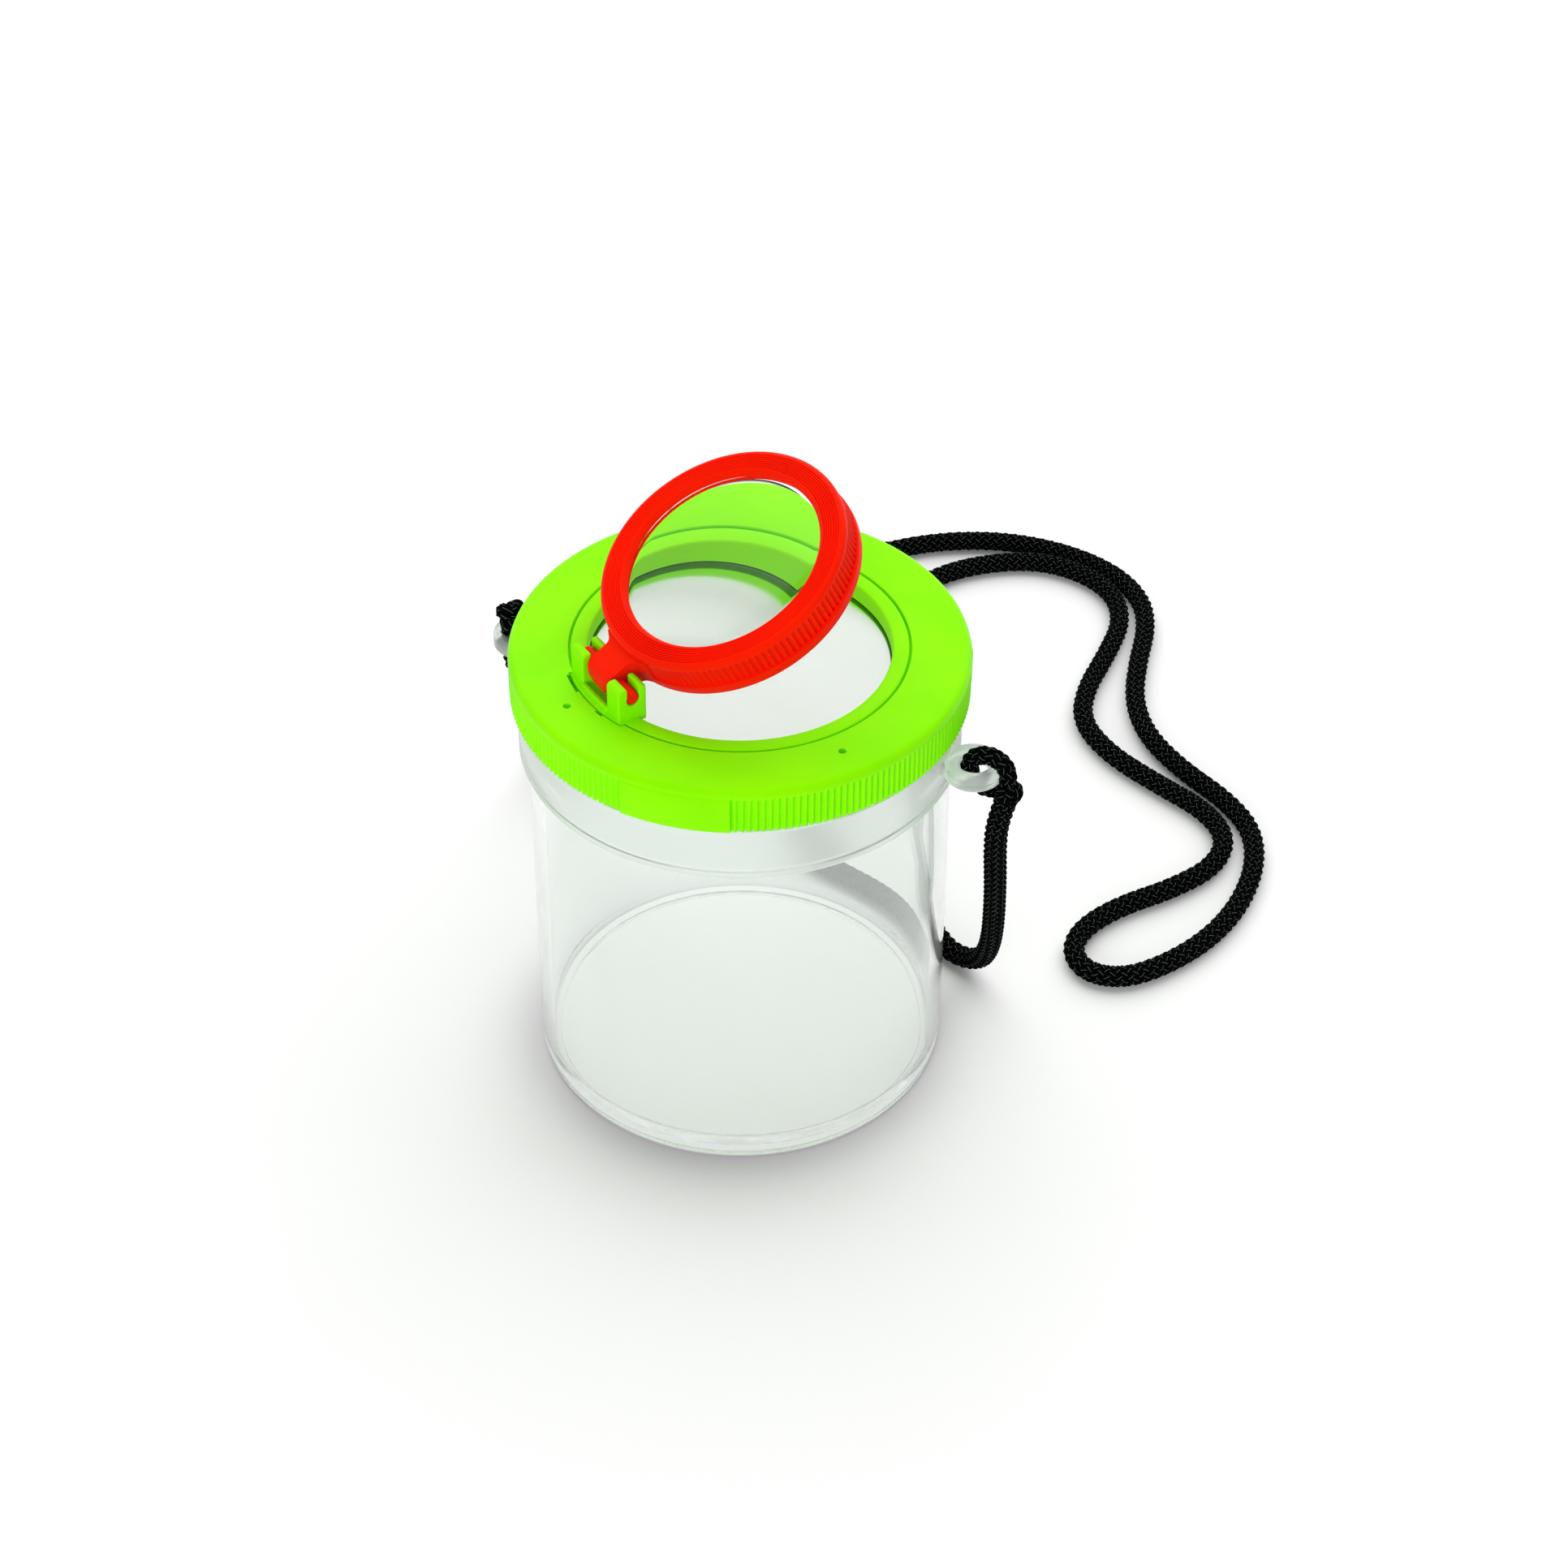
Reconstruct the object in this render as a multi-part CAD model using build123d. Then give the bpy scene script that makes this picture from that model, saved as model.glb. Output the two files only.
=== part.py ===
from build123d import *
import math
import os

# A clear collecting jar with a hinged magnifier on its lid and a neck cord.
# Millimetres, +Z up, origin on the jar's axis at the surface it stands on.
# Angles are in degrees about +Z, from +X.

# Cup
CUP_RADIUS = 37.0
CUP_HEIGHT = 85.4
CUP_WALL = 1.7
CUP_FLOOR = 2.0
FOOT_WIDTH = 3.2
FOOT_DEPTH = 1.2
HEEL_ROUND = 1.5
INNER_ROUND = 2.0
COLLAR_STEP = 1.6
COLLAR_HEIGHT = 10.5
COLLAR_ROUND = 1.0
NECK_STEP = 0.4
NECK_HEIGHT = 7.5
RIM_ROUND = 0.3

# Eyelets for the cord, one on each side of the collar
EYELET_ANGLE = -24.0
EYELET_REACH = 6.0
EYELET_DROP = 3.6
EYELET_HOLE = 5.0
EYELET_SECTION = 2.8
EYELET_THICKNESS = 3.2
EYELET_ROUND = 1.2
EYELET_WEB_WIDTH = 6.4
EYELET_WEB_THICKNESS = 2.2

# Lid
LID_PLATE = 2.1
LID_HEIGHT = 8.7
LID_CLEARANCE = 0.35
SKIRT_WALL = 2.4
LID_ROUND = 1.4
RIB_DEPTH = 0.45
RIB_COUNT = 54
RIB_LAND = 0.3
PAD_RISE = 0.2
PAD_COUNT = 3
PAD_SPAN = 28.0
PAD_ANGLE = -106.2
AIR_HOLE = 1.4
AIR_HOLE_INSET = 6.1
AIR_HOLE_ANGLES = (210.5, 300.0)

# Lens ring, which drops into the lid and carries the hinge
RING_BORE_RADIUS = 26.1
RING_WALL = 1.1
RING_FLANGE = 0.9
RING_FLANGE_THICKNESS = 1.2
RING_DEPTH = 7.5
RING_GAP = 0.25
RING_FIT = 0.15
SNAP_RISE = 0.4
SNAP_HEIGHT = 0.9
SNAP_GAP = 0.1

# Lens in the ring
LENS_LEDGE = 0.9
LENS_FIT = 0.1
LENS_SET = 3.1
LENS_EDGE = 1.8
LENS_CROWN = 0.9
LENS_BELLY = 0.9
LENS_BEAD = 0.4

# Hinge on the ring
HINGE_ANGLE = 212.0
HINGE_INSET = 0.3
HINGE_MARGIN = 0.4
BLOCK_STEP = 0.9
BAR_WIDTH = 1.0
BAR_HEIGHT = 0.9
BAR_EDGE = 0.5
BAR_ROUND = 0.35
SLOT_WIDTH = 0.7
SLOT_LENGTH = 3.0
SLOT_SPREAD = 9.6
PIN_HEIGHT = 3.9
PIN_DIAMETER = 2.4
PIN_CLEARANCE = 0.05
PIN_SPAN = 15.4
EAR_SPACE = 7.8
EAR_THICKNESS = 4.0
EAR_LENGTH = 5.2
EAR_HEIGHT = 6.3
EAR_CHAMFER = 0.9
SNAP_MOUTH = 2.2

# Magnifier
MAGNIFIER_GAP = 3.45
MAGNIFIER_HEIGHT = 7.6
MAGNIFIER_DROP = 3.4
MAGNIFIER_REACH = 26.8
MAGNIFIER_TILT = 27.0
FRAME_WIDTH = 5.1
FRAME_PLATE = 2.0
FRAME_SKIRT = 1.45
FRAME_ROUND = 1.0
FRAME_RIM = 2.0
FRAME_BAND = 4.4
FLUTE_STEP = 0.3
FLUTE_DEPTH = 0.45
FLUTE_COUNT = 118
FLUTE_LAND = 0.4
BEVEL_WIDTH = 0.7
BEVEL_DEPTH = 0.9
FRAME_LEDGE = 0.8
LOUPE_SET = 1.3
LOUPE_SEAT = 1.2
LOUPE_EDGE = 2.0
LOUPE_CROWN = 0.7
LOUPE_BELLY = 0.7
TAB_WIDTH = 6.8
TAB_THICKNESS = 5.4
TAB_ROOT = 1.2

# Neck cord
CORD_DIAMETER = 4.0
LOOP_DIAMETER = 3.2
LOOP_CLEARANCE = 0.25
LOOP_SPAN = 312.0
KNOT_ANGLE = -55.0
KNOT_CLEARANCE = 0.3
LOOP_KNOT_TURN = 1.3
LOOP_KNOT_STRAND = 1.3
STOPPER_KNOT_TURN = 1.6
STOPPER_KNOT_STRAND = 1.5
CORD_ARC_SHARE = 0.45

# Route of the cord, from the knot under one eyelet to the knot on the other
CORD_ROUTE = [
    (46.4, -20.6, 70.2),
    (45.0, -18.6, 61.5),
    (43.8, -13.5, 47.5),
    (43.6, -6.5, 31.5),
    (44.0, 1.0, 17.0),
    (43.8, 7.2, 6.6),
    (42.2, 12.0, 2.1),
    (39.4, 17.6, 2.1),
    (36.0, 24.6, 2.1),
    (30.6, 30.8, 2.1),
    (24.0, 36.4, 2.1),
    (18.0, 43.4, 2.1),
    (15.0, 51.8, 2.1),
    (17.0, 60.8, 2.1),
    (22.6, 68.8, 2.1),
    (29.0, 76.6, 2.1),
    (34.2, 85.6, 2.1),
    (36.6, 95.4, 2.1),
    (35.8, 105.6, 2.1),
    (33.2, 114.6, 2.1),
    (32.8, 123.2, 2.1),
    (37.4, 130.6, 2.1),
    (47.6, 137.6, 2.1),
    (62.0, 140.8, 2.1),
    (73.0, 136.6, 2.1),
    (80.0, 128.5, 2.1),
    (81.2, 118.5, 2.1),
    (76.8, 107.0, 2.1),
    (71.2, 95.0, 2.1),
    (69.6, 84.5, 2.1),
    (74.5, 74.0, 2.1),
    (83.5, 64.5, 2.1),
    (92.0, 56.5, 2.1),
    (95.8, 48.0, 2.1),
    (92.5, 39.5, 2.1),
    (83.5, 33.0, 2.1),
    (73.0, 28.0, 2.1),
    (65.5, 22.0, 2.1),
    (62.5, 15.0, 2.1),
    (65.0, 8.5, 2.1),
    (72.0, 6.8, 2.1),
    (81.0, 10.8, 2.1),
    (90.0, 17.8, 2.1),
    (97.0, 27.5, 2.1),
    (101.5, 39.5, 2.1),
    (102.0, 50.5, 2.1),
    (97.5, 60.0, 2.1),
    (90.0, 69.0, 2.1),
    (84.0, 79.5, 2.1),
    (82.0, 91.0, 2.1),
    (84.0, 104.0, 2.1),
    (87.0, 116.5, 2.1),
    (86.6, 127.0, 2.1),
    (80.5, 137.0, 2.1),
    (69.5, 144.4, 2.1),
    (56.5, 148.2, 2.1),
    (42.0, 147.2, 2.1),
    (28.0, 142.2, 2.1),
    (14.5, 140.6, 2.1),
    (0.5, 140.8, 2.1),
    (-13.0, 138.0, 2.1),
    (-25.0, 131.0, 2.1),
    (-33.5, 120.5, 2.1),
    (-38.0, 108.0, 2.1),
    (-39.0, 94.5, 2.1),
    (-38.2, 81.0, 3.0),
    (-38.2, 69.5, 8.0),
    (-38.5, 58.5, 16.0),
    (-39.0, 48.0, 25.5),
    (-39.5, 38.0, 36.0),
    (-40.0, 29.0, 47.0),
    (-40.5, 22.0, 58.0),
    (-40.7, 18.6, 68.0),
    (-40.74, 18.14, 79.0),
]

# Sizes that follow from the driving dimensions
COLLAR_TOP = CUP_HEIGHT - NECK_HEIGHT
COLLAR_BOTTOM = COLLAR_TOP - COLLAR_HEIGHT
COLLAR_RADIUS = CUP_RADIUS + COLLAR_STEP
NECK_RADIUS = CUP_RADIUS - NECK_STEP
CUP_BORE_RADIUS = CUP_RADIUS - CUP_WALL
EYELET_RADIUS = COLLAR_RADIUS + EYELET_REACH
EYELET_Z = COLLAR_TOP - EYELET_DROP
EYELET_MIDDLE = EYELET_HOLE / 2 + EYELET_SECTION / 2

LID_TOP = CUP_HEIGHT + LID_PLATE
LID_BOTTOM = LID_TOP - LID_HEIGHT
SKIRT_BORE_RADIUS = NECK_RADIUS + LID_CLEARANCE
VALLEY_RADIUS = SKIRT_BORE_RADIUS + SKIRT_WALL
CREST_RADIUS = VALLEY_RADIUS + RIB_DEPTH
PAD_RADIUS = CREST_RADIUS + PAD_RISE
RIB_TOP = LID_TOP - LID_ROUND - RIB_LAND

POCKET_RADIUS = RING_BORE_RADIUS + LENS_LEDGE
RING_RADIUS = POCKET_RADIUS + RING_WALL
FLANGE_RADIUS = RING_RADIUS + RING_FLANGE
FLANGE_Z = LID_TOP - RING_FLANGE_THICKNESS
RING_BOTTOM = LID_TOP - RING_DEPTH
LENS_TOP = LID_TOP - LENS_SET

HINGE_RADIUS = RING_BORE_RADIUS - HINGE_INSET
PIN_Z = LID_TOP + PIN_HEIGHT
EAR_INNER = EAR_SPACE / 2
EAR_OUTER = EAR_INNER + EAR_THICKNESS
BLOCK_RADIUS = FLANGE_RADIUS + BLOCK_STEP
BLOCK_WIDTH = 2 * (EAR_OUTER + HINGE_MARGIN)

FRAME_RADIUS = RING_BORE_RADIUS - MAGNIFIER_GAP
FRAME_CENTRE = HINGE_RADIUS - MAGNIFIER_REACH
FRAME_BORE_RADIUS = FRAME_RADIUS - FRAME_WIDTH
FRAME_POCKET_RADIUS = FRAME_BORE_RADIUS + FRAME_LEDGE
FRAME_SEAT_RADIUS = FRAME_POCKET_RADIUS + LOUPE_SEAT
FRAME_HOLLOW_RADIUS = FRAME_RADIUS - FRAME_SKIRT
FLUTE_CREST = FRAME_RADIUS - FLUTE_STEP
FLUTE_VALLEY = FLUTE_CREST - FLUTE_DEPTH
FRAME_BOTTOM = PIN_Z - MAGNIFIER_DROP
FRAME_TOP = FRAME_BOTTOM + MAGNIFIER_HEIGHT
LOUPE_TOP = FRAME_TOP - LOUPE_SET

HINGE_AXIS = Axis(
    (
        HINGE_RADIUS * math.cos(math.radians(HINGE_ANGLE)),
        HINGE_RADIUS * math.sin(math.radians(HINGE_ANGLE)),
        PIN_Z,
    ),
    (-math.sin(math.radians(HINGE_ANGLE)), math.cos(math.radians(HINGE_ANGLE)), 0),
)


def polar(radius, angle):
    """Point of the XY plane at a radius and an angle in degrees."""
    return (radius * math.cos(math.radians(angle)), radius * math.sin(math.radians(angle)))


def turned(corners):
    """Solid of revolution about Z, from its (radius, height, round) corners."""
    points = [(radius, height) for radius, height, _ in corners]
    rounds = [rounding for _, _, rounding in corners]
    outline = FilletPolyline(*points, radius=rounds, close=True)
    return revolve(Plane.XZ * make_face(outline), Axis.Z)


def rib_points(start, span, count, valley, crest, land):
    """Corners of a run of flat-topped ribs, from one valley to the last."""
    step = span / count
    flank = (1 - land) / 2
    points = []
    for index in range(count):
        angle = start + index * step
        points.append(polar(valley, angle))
        points.append(polar(crest, angle + flank * step))
        points.append(polar(crest, angle + (flank + land) * step))
    points.append(polar(valley, start + span))
    return points


def biconvex(radius, ledge, top, edge, crown, belly):
    """Lens with two domes inside a flat ledge, its upper ledge at height top."""
    dome = radius - ledge
    bottom = top - edge
    upper = ThreePointArc((-dome, top), (0, top + crown), (dome, top))
    lower = ThreePointArc((-dome, bottom), (0, bottom - belly), (dome, bottom))
    right = Polyline((dome, top), (radius, top), (radius, bottom), (dome, bottom))
    left = Polyline((-dome, top), (-radius, top), (-radius, bottom), (-dome, bottom))
    outline = make_face(upper + right + lower + left)
    half = outline & Pos(radius, top) * Rectangle(2 * radius, 8 * radius)
    return revolve(Plane.XZ * half, Axis.Z)


def at_hinge(solid):
    """Turn a solid from the +X side round to the hinge."""
    return Rot(0, 0, HINGE_ANGLE) * solid


def make_cup():
    """Clear cup with its foot ring, collar, neck and cord eyelets."""
    foot_inner = CUP_RADIUS - FOOT_WIDTH
    floor_top = FOOT_DEPTH + CUP_FLOOR
    cup = turned([
        (0, FOOT_DEPTH, 0),
        (foot_inner, FOOT_DEPTH, 0),
        (foot_inner, 0, 0),
        (CUP_RADIUS, 0, HEEL_ROUND),
        (CUP_RADIUS, COLLAR_BOTTOM, 0),
        (COLLAR_RADIUS, COLLAR_BOTTOM, COLLAR_ROUND),
        (COLLAR_RADIUS, COLLAR_TOP, RIM_ROUND),
        (NECK_RADIUS, COLLAR_TOP, 0),
        (NECK_RADIUS, CUP_HEIGHT, RIM_ROUND),
        (CUP_BORE_RADIUS, CUP_HEIGHT, RIM_ROUND),
        (CUP_BORE_RADIUS, floor_top, INNER_ROUND),
        (0, floor_top, 0),
    ])
    for angle in (EYELET_ANGLE, EYELET_ANGLE + 180):
        cup += Rot(0, 0, angle) * make_eyelet()
    return cup


def make_eyelet():
    """Ring with an upright hole, and the web that joins it to the collar at +X."""
    hole = EYELET_HOLE / 2
    outer = hole + EYELET_SECTION
    half = EYELET_THICKNESS / 2
    ring = Pos(EYELET_RADIUS, 0, EYELET_Z) * turned([
        (hole, -half, EYELET_ROUND),
        (outer, -half, EYELET_ROUND),
        (outer, half, EYELET_ROUND),
        (hole, half, EYELET_ROUND),
    ])
    web_start = CUP_RADIUS
    web_end = EYELET_RADIUS - EYELET_MIDDLE
    web = Pos((web_start + web_end) / 2, 0, EYELET_Z) * Box(
        web_end - web_start, EYELET_WEB_WIDTH, EYELET_WEB_THICKNESS
    )
    return ring + web


def make_lid():
    """Lid with its ribbed skirt, smooth grip pads, air holes and hinge pocket."""
    shell = turned([
        (RING_RADIUS + RING_FIT, CUP_HEIGHT, 0),
        (SKIRT_BORE_RADIUS, CUP_HEIGHT, 0),
        (SKIRT_BORE_RADIUS, LID_BOTTOM, 0),
        (VALLEY_RADIUS, LID_BOTTOM, 0),
        (VALLEY_RADIUS, RIB_TOP, 0),
        (CREST_RADIUS, RIB_TOP, 0),
        (CREST_RADIUS, LID_TOP, LID_ROUND),
        (FLANGE_RADIUS + RING_GAP, LID_TOP, 0),
        (FLANGE_RADIUS + RING_GAP, FLANGE_Z, 0),
        (RING_RADIUS + RING_FIT, FLANGE_Z, 0),
    ])
    lid = shell + make_skirt_ribs()
    lid -= make_block(BLOCK_RADIUS + RING_GAP, BLOCK_WIDTH + 2 * RING_GAP)
    for side in (-1, 1):
        across = side * SLOT_SPREAD / 2
        reach = math.sqrt(BLOCK_RADIUS**2 - across**2) + SLOT_WIDTH / 2
        slot = Pos(reach, across, LID_TOP) * Box(SLOT_WIDTH, SLOT_LENGTH, 2 * RING_FLANGE_THICKNESS)
        lid -= at_hinge(slot)
    for angle in AIR_HOLE_ANGLES:
        place = polar(CREST_RADIUS - AIR_HOLE_INSET, angle)
        lid -= Pos(*place, LID_TOP - LID_PLATE / 2) * Cylinder(AIR_HOLE / 2, 2 * LID_PLATE)
    return lid


def make_skirt_ribs():
    """Band of upright ribs on the skirt, broken by smooth pads."""
    sector = 360 / PAD_COUNT
    edges = []
    for index in range(PAD_COUNT):
        pad_start = PAD_ANGLE + index * sector - PAD_SPAN / 2
        pad_end = pad_start + PAD_SPAN
        pad = ThreePointArc(
            polar(PAD_RADIUS, pad_start),
            polar(PAD_RADIUS, (pad_start + pad_end) / 2),
            polar(PAD_RADIUS, pad_end),
        )
        ribs = rib_points(
            pad_end, sector - PAD_SPAN, RIB_COUNT, VALLEY_RADIUS, CREST_RADIUS, RIB_LAND
        )
        last = polar(PAD_RADIUS, pad_start + sector)
        edges.append(pad)
        edges.append(Polyline(polar(PAD_RADIUS, pad_end), *ribs, last))
    outline = make_face(Curve() + edges)
    band = outline - Circle((SKIRT_BORE_RADIUS + VALLEY_RADIUS) / 2)
    return Pos(0, 0, LID_BOTTOM) * extrude(band, RIB_TOP - LID_BOTTOM)


def make_lens_ring():
    """Ring that seats in the lid, holds the lens and carries the hinge ears."""
    plate_bottom = LID_TOP - LID_PLATE
    snap_top = plate_bottom - SNAP_GAP
    lens_bottom = LENS_TOP - LENS_EDGE
    bead_top = lens_bottom - SNAP_GAP
    ring = turned([
        (RING_BORE_RADIUS, LID_TOP, 0),
        (RING_BORE_RADIUS, LENS_TOP, 0),
        (POCKET_RADIUS, LENS_TOP, 0),
        (POCKET_RADIUS, bead_top, 0),
        (POCKET_RADIUS - LENS_BEAD, bead_top - LENS_BEAD, 0),
        (POCKET_RADIUS, bead_top - 2 * LENS_BEAD, 0),
        (POCKET_RADIUS, RING_BOTTOM, 0),
        (RING_RADIUS, RING_BOTTOM, 0),
        (RING_RADIUS, snap_top - SNAP_HEIGHT, 0),
        (RING_RADIUS + SNAP_RISE, snap_top, 0),
        (RING_RADIUS, snap_top, 0),
        (RING_RADIUS, FLANGE_Z, 0),
        (FLANGE_RADIUS, FLANGE_Z, 0),
        (FLANGE_RADIUS, LID_TOP, 0),
    ])
    ring += make_block(BLOCK_RADIUS, BLOCK_WIDTH)
    ring += make_bar()
    for side in (-1, 1):
        middle = side * (EAR_INNER + EAR_OUTER) / 2
        ring += at_hinge(Pos(HINGE_RADIUS, middle, 0) * make_ear())
    return ring


def make_block(radius, width):
    """Hinge block beside the flange, with its outer side on a circle round the jar."""
    length = radius - HINGE_RADIUS
    box = Pos(HINGE_RADIUS + length / 2, 0, LID_TOP - RING_FLANGE_THICKNESS / 2) * Box(
        length, width, RING_FLANGE_THICKNESS
    )
    disc = Pos(0, 0, LID_TOP - RING_FLANGE_THICKNESS / 2) * Cylinder(radius, RING_FLANGE_THICKNESS)
    return at_hinge(box & disc)


def make_bar():
    """Rounded bar between the ears, along the outer side of the hinge block."""
    block_side = math.sqrt(BLOCK_RADIUS**2 - EAR_INNER**2)
    bar = Pos(block_side - BAR_EDGE - BAR_WIDTH / 2, 0, LID_TOP + BAR_HEIGHT / 2) * Box(
        BAR_WIDTH, EAR_SPACE, BAR_HEIGHT
    )
    upper_edges = bar.faces().sort_by(Axis.Z)[-1].edges().filter_by(Axis.Y)
    return at_hinge(fillet(upper_edges, BAR_ROUND))


def make_ear():
    """Hinge ear with an open-topped snap seat for the pin, at Y = 0."""
    top = LID_TOP + EAR_HEIGHT
    bottom = FLANGE_Z
    half = EAR_LENGTH / 2
    outline = Polyline(
        (-half, bottom),
        (half, bottom),
        (half, top - EAR_CHAMFER),
        (half - EAR_CHAMFER, top),
        (-half + EAR_CHAMFER, top),
        (-half, top - EAR_CHAMFER),
        close=True,
    )
    seat = Pos(0, PIN_Z) * Circle(PIN_DIAMETER / 2 + PIN_CLEARANCE)
    mouth = Pos(0, PIN_Z + EAR_HEIGHT / 2) * Rectangle(SNAP_MOUTH, EAR_HEIGHT)
    profile = make_face(outline) - seat - mouth
    return extrude(Plane.XZ * profile, EAR_THICKNESS / 2, both=True)


def make_lid_lens():
    """Large clear lens under the lid's opening."""
    return biconvex(
        POCKET_RADIUS - LENS_FIT, LENS_LEDGE, LENS_TOP, LENS_EDGE, LENS_CROWN, LENS_BELLY
    )


def make_magnifier_frame():
    """Fluted frame, hollow below, with its lens seat, hinge tab and stub pins, swung open."""
    band_bottom = FRAME_BOTTOM + FRAME_RIM
    band_top = band_bottom + FRAME_BAND
    plate_bottom = FRAME_TOP - FRAME_PLATE
    bead_top = LOUPE_TOP - LOUPE_EDGE - SNAP_GAP
    seat_bottom = bead_top - 2 * LENS_BEAD
    frame = turned([
        (FRAME_HOLLOW_RADIUS, FRAME_BOTTOM, 0),
        (FRAME_RADIUS, FRAME_BOTTOM, 0),
        (FRAME_RADIUS, band_bottom, 0),
        (FLUTE_VALLEY, band_bottom, 0),
        (FLUTE_VALLEY, band_top, 0),
        (FLUTE_CREST, band_top, 0),
        (FLUTE_CREST, FRAME_TOP, FRAME_ROUND),
        (FRAME_BORE_RADIUS + BEVEL_WIDTH, FRAME_TOP, 0),
        (FRAME_BORE_RADIUS, FRAME_TOP - BEVEL_DEPTH, 0),
        (FRAME_BORE_RADIUS, LOUPE_TOP, 0),
        (FRAME_POCKET_RADIUS, LOUPE_TOP, 0),
        (FRAME_POCKET_RADIUS, bead_top, 0),
        (FRAME_POCKET_RADIUS - LENS_BEAD, bead_top - LENS_BEAD, 0),
        (FRAME_POCKET_RADIUS, seat_bottom, 0),
        (FRAME_SEAT_RADIUS, seat_bottom, 0),
        (FRAME_SEAT_RADIUS, plate_bottom, 0),
        (FRAME_HOLLOW_RADIUS, plate_bottom, 0),
    ])
    flutes = rib_points(0, 360, FLUTE_COUNT, FLUTE_VALLEY, FLUTE_CREST, FLUTE_LAND)
    band = make_face(Polyline(*flutes[:-1], close=True)) - Circle(FLUTE_VALLEY - FLUTE_DEPTH)
    frame += Pos(0, 0, band_bottom) * extrude(band, FRAME_BAND)
    frame = at_hinge(Pos(FRAME_CENTRE, 0, 0) * frame)
    tab_start = FRAME_CENTRE + FRAME_RADIUS - TAB_ROOT
    tab = Pos((tab_start + HINGE_RADIUS) / 2, 0, PIN_Z) * Box(
        HINGE_RADIUS - tab_start, TAB_WIDTH, TAB_THICKNESS
    )
    tab += Pos(HINGE_RADIUS, 0, PIN_Z) * Rot(90, 0, 0) * Cylinder(TAB_THICKNESS / 2, TAB_WIDTH)
    tab += Pos(HINGE_RADIUS, 0, PIN_Z) * Rot(90, 0, 0) * Cylinder(PIN_DIAMETER / 2, PIN_SPAN)
    frame += at_hinge(tab)
    return frame.rotate(HINGE_AXIS, MAGNIFIER_TILT)


def make_magnifier_lens():
    """Clear lens in the magnifier's frame, swung open with it."""
    lens = biconvex(
        FRAME_POCKET_RADIUS - LENS_FIT,
        FRAME_LEDGE,
        LOUPE_TOP,
        LOUPE_EDGE,
        LOUPE_CROWN,
        LOUPE_BELLY,
    )
    return at_hinge(Pos(FRAME_CENTRE, 0, 0) * lens).rotate(HINGE_AXIS, MAGNIFIER_TILT)


def loop_radius():
    """Radius of the cord loop that goes round the eyelet's outer side."""
    return EYELET_THICKNESS / 2 + LOOP_CLEARANCE + LOOP_DIAMETER / 2


def make_cord_loop():
    """Loop of cord round the outer side of the first eyelet, open at its knot."""
    section = Plane.XZ * Pos(loop_radius(), 0) * Circle(LOOP_DIAMETER / 2)
    start = KNOT_ANGLE + (360 - LOOP_SPAN) / 2
    loop = revolve(section, Axis.Z, LOOP_SPAN)
    upright = Rot(90, 0, 0) * Rot(0, 0, start) * loop
    return Rot(0, 0, EYELET_ANGLE) * Pos(EYELET_RADIUS + EYELET_MIDDLE, 0, EYELET_Z) * upright


def make_knot(turn_radius, strand_radius):
    """Overhand knot drawn tight: two crossed turns of cord round a core."""
    core = Sphere(turn_radius + strand_radius / 2)
    turn = Torus(turn_radius, strand_radius)
    return core + Rot(60, 0, 0) * turn + Rot(60, 75, 0) * turn


def make_loop_knot():
    """Knot that closes the cord loop, just clear of the eyelet."""
    knot_radius = LOOP_KNOT_TURN + LOOP_KNOT_STRAND
    distance = EYELET_THICKNESS / 2 + KNOT_CLEARANCE + knot_radius
    reach = EYELET_RADIUS + EYELET_MIDDLE + distance * math.cos(math.radians(KNOT_ANGLE))
    height = EYELET_Z + distance * math.sin(math.radians(KNOT_ANGLE))
    knot = make_knot(LOOP_KNOT_TURN, LOOP_KNOT_STRAND)
    return Rot(0, 0, EYELET_ANGLE) * Pos(reach, 0, height) * knot


def make_stopper_knot():
    """Knot on top of the second eyelet, which the cord comes up through."""
    knot_radius = STOPPER_KNOT_TURN + STOPPER_KNOT_STRAND
    height = EYELET_Z + EYELET_THICKNESS / 2 + KNOT_CLEARANCE + knot_radius
    knot = make_knot(STOPPER_KNOT_TURN, STOPPER_KNOT_STRAND)
    return Rot(0, 0, EYELET_ANGLE + 180) * Pos(EYELET_RADIUS, 0, height) * knot


def cord_radii(points):
    """Arc radius at each inner point of a route, as large as its runs allow."""
    radii = []
    for before, here, after in zip(points, points[1:], points[2:]):
        incoming = Vector(*here) - Vector(*before)
        outgoing = Vector(*after) - Vector(*here)
        shorter = min(incoming.length, outgoing.length)
        half_turn = math.radians(incoming.get_angle(outgoing)) / 2
        radii.append(CORD_ARC_SHARE * shorter / math.tan(half_turn))
    return radii


def make_neck_cord():
    """Neck cord as a tube of straight runs and tangent arcs."""
    radii = cord_radii(CORD_ROUTE)
    path = FilletPolyline(*CORD_ROUTE, radius=radii)
    section = Plane(origin=path @ 0, z_dir=path % 0) * Circle(CORD_DIAMETER / 2)
    cord = sweep(section, path=path)
    expected = math.pi * CORD_DIAMETER**2 / 4 * path.length
    print("cord length", round(path.length, 1), "volume share", round(cord.volume / expected, 4))
    print("cord radii", [round(radius, 1) for radius in radii])
    return cord


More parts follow.
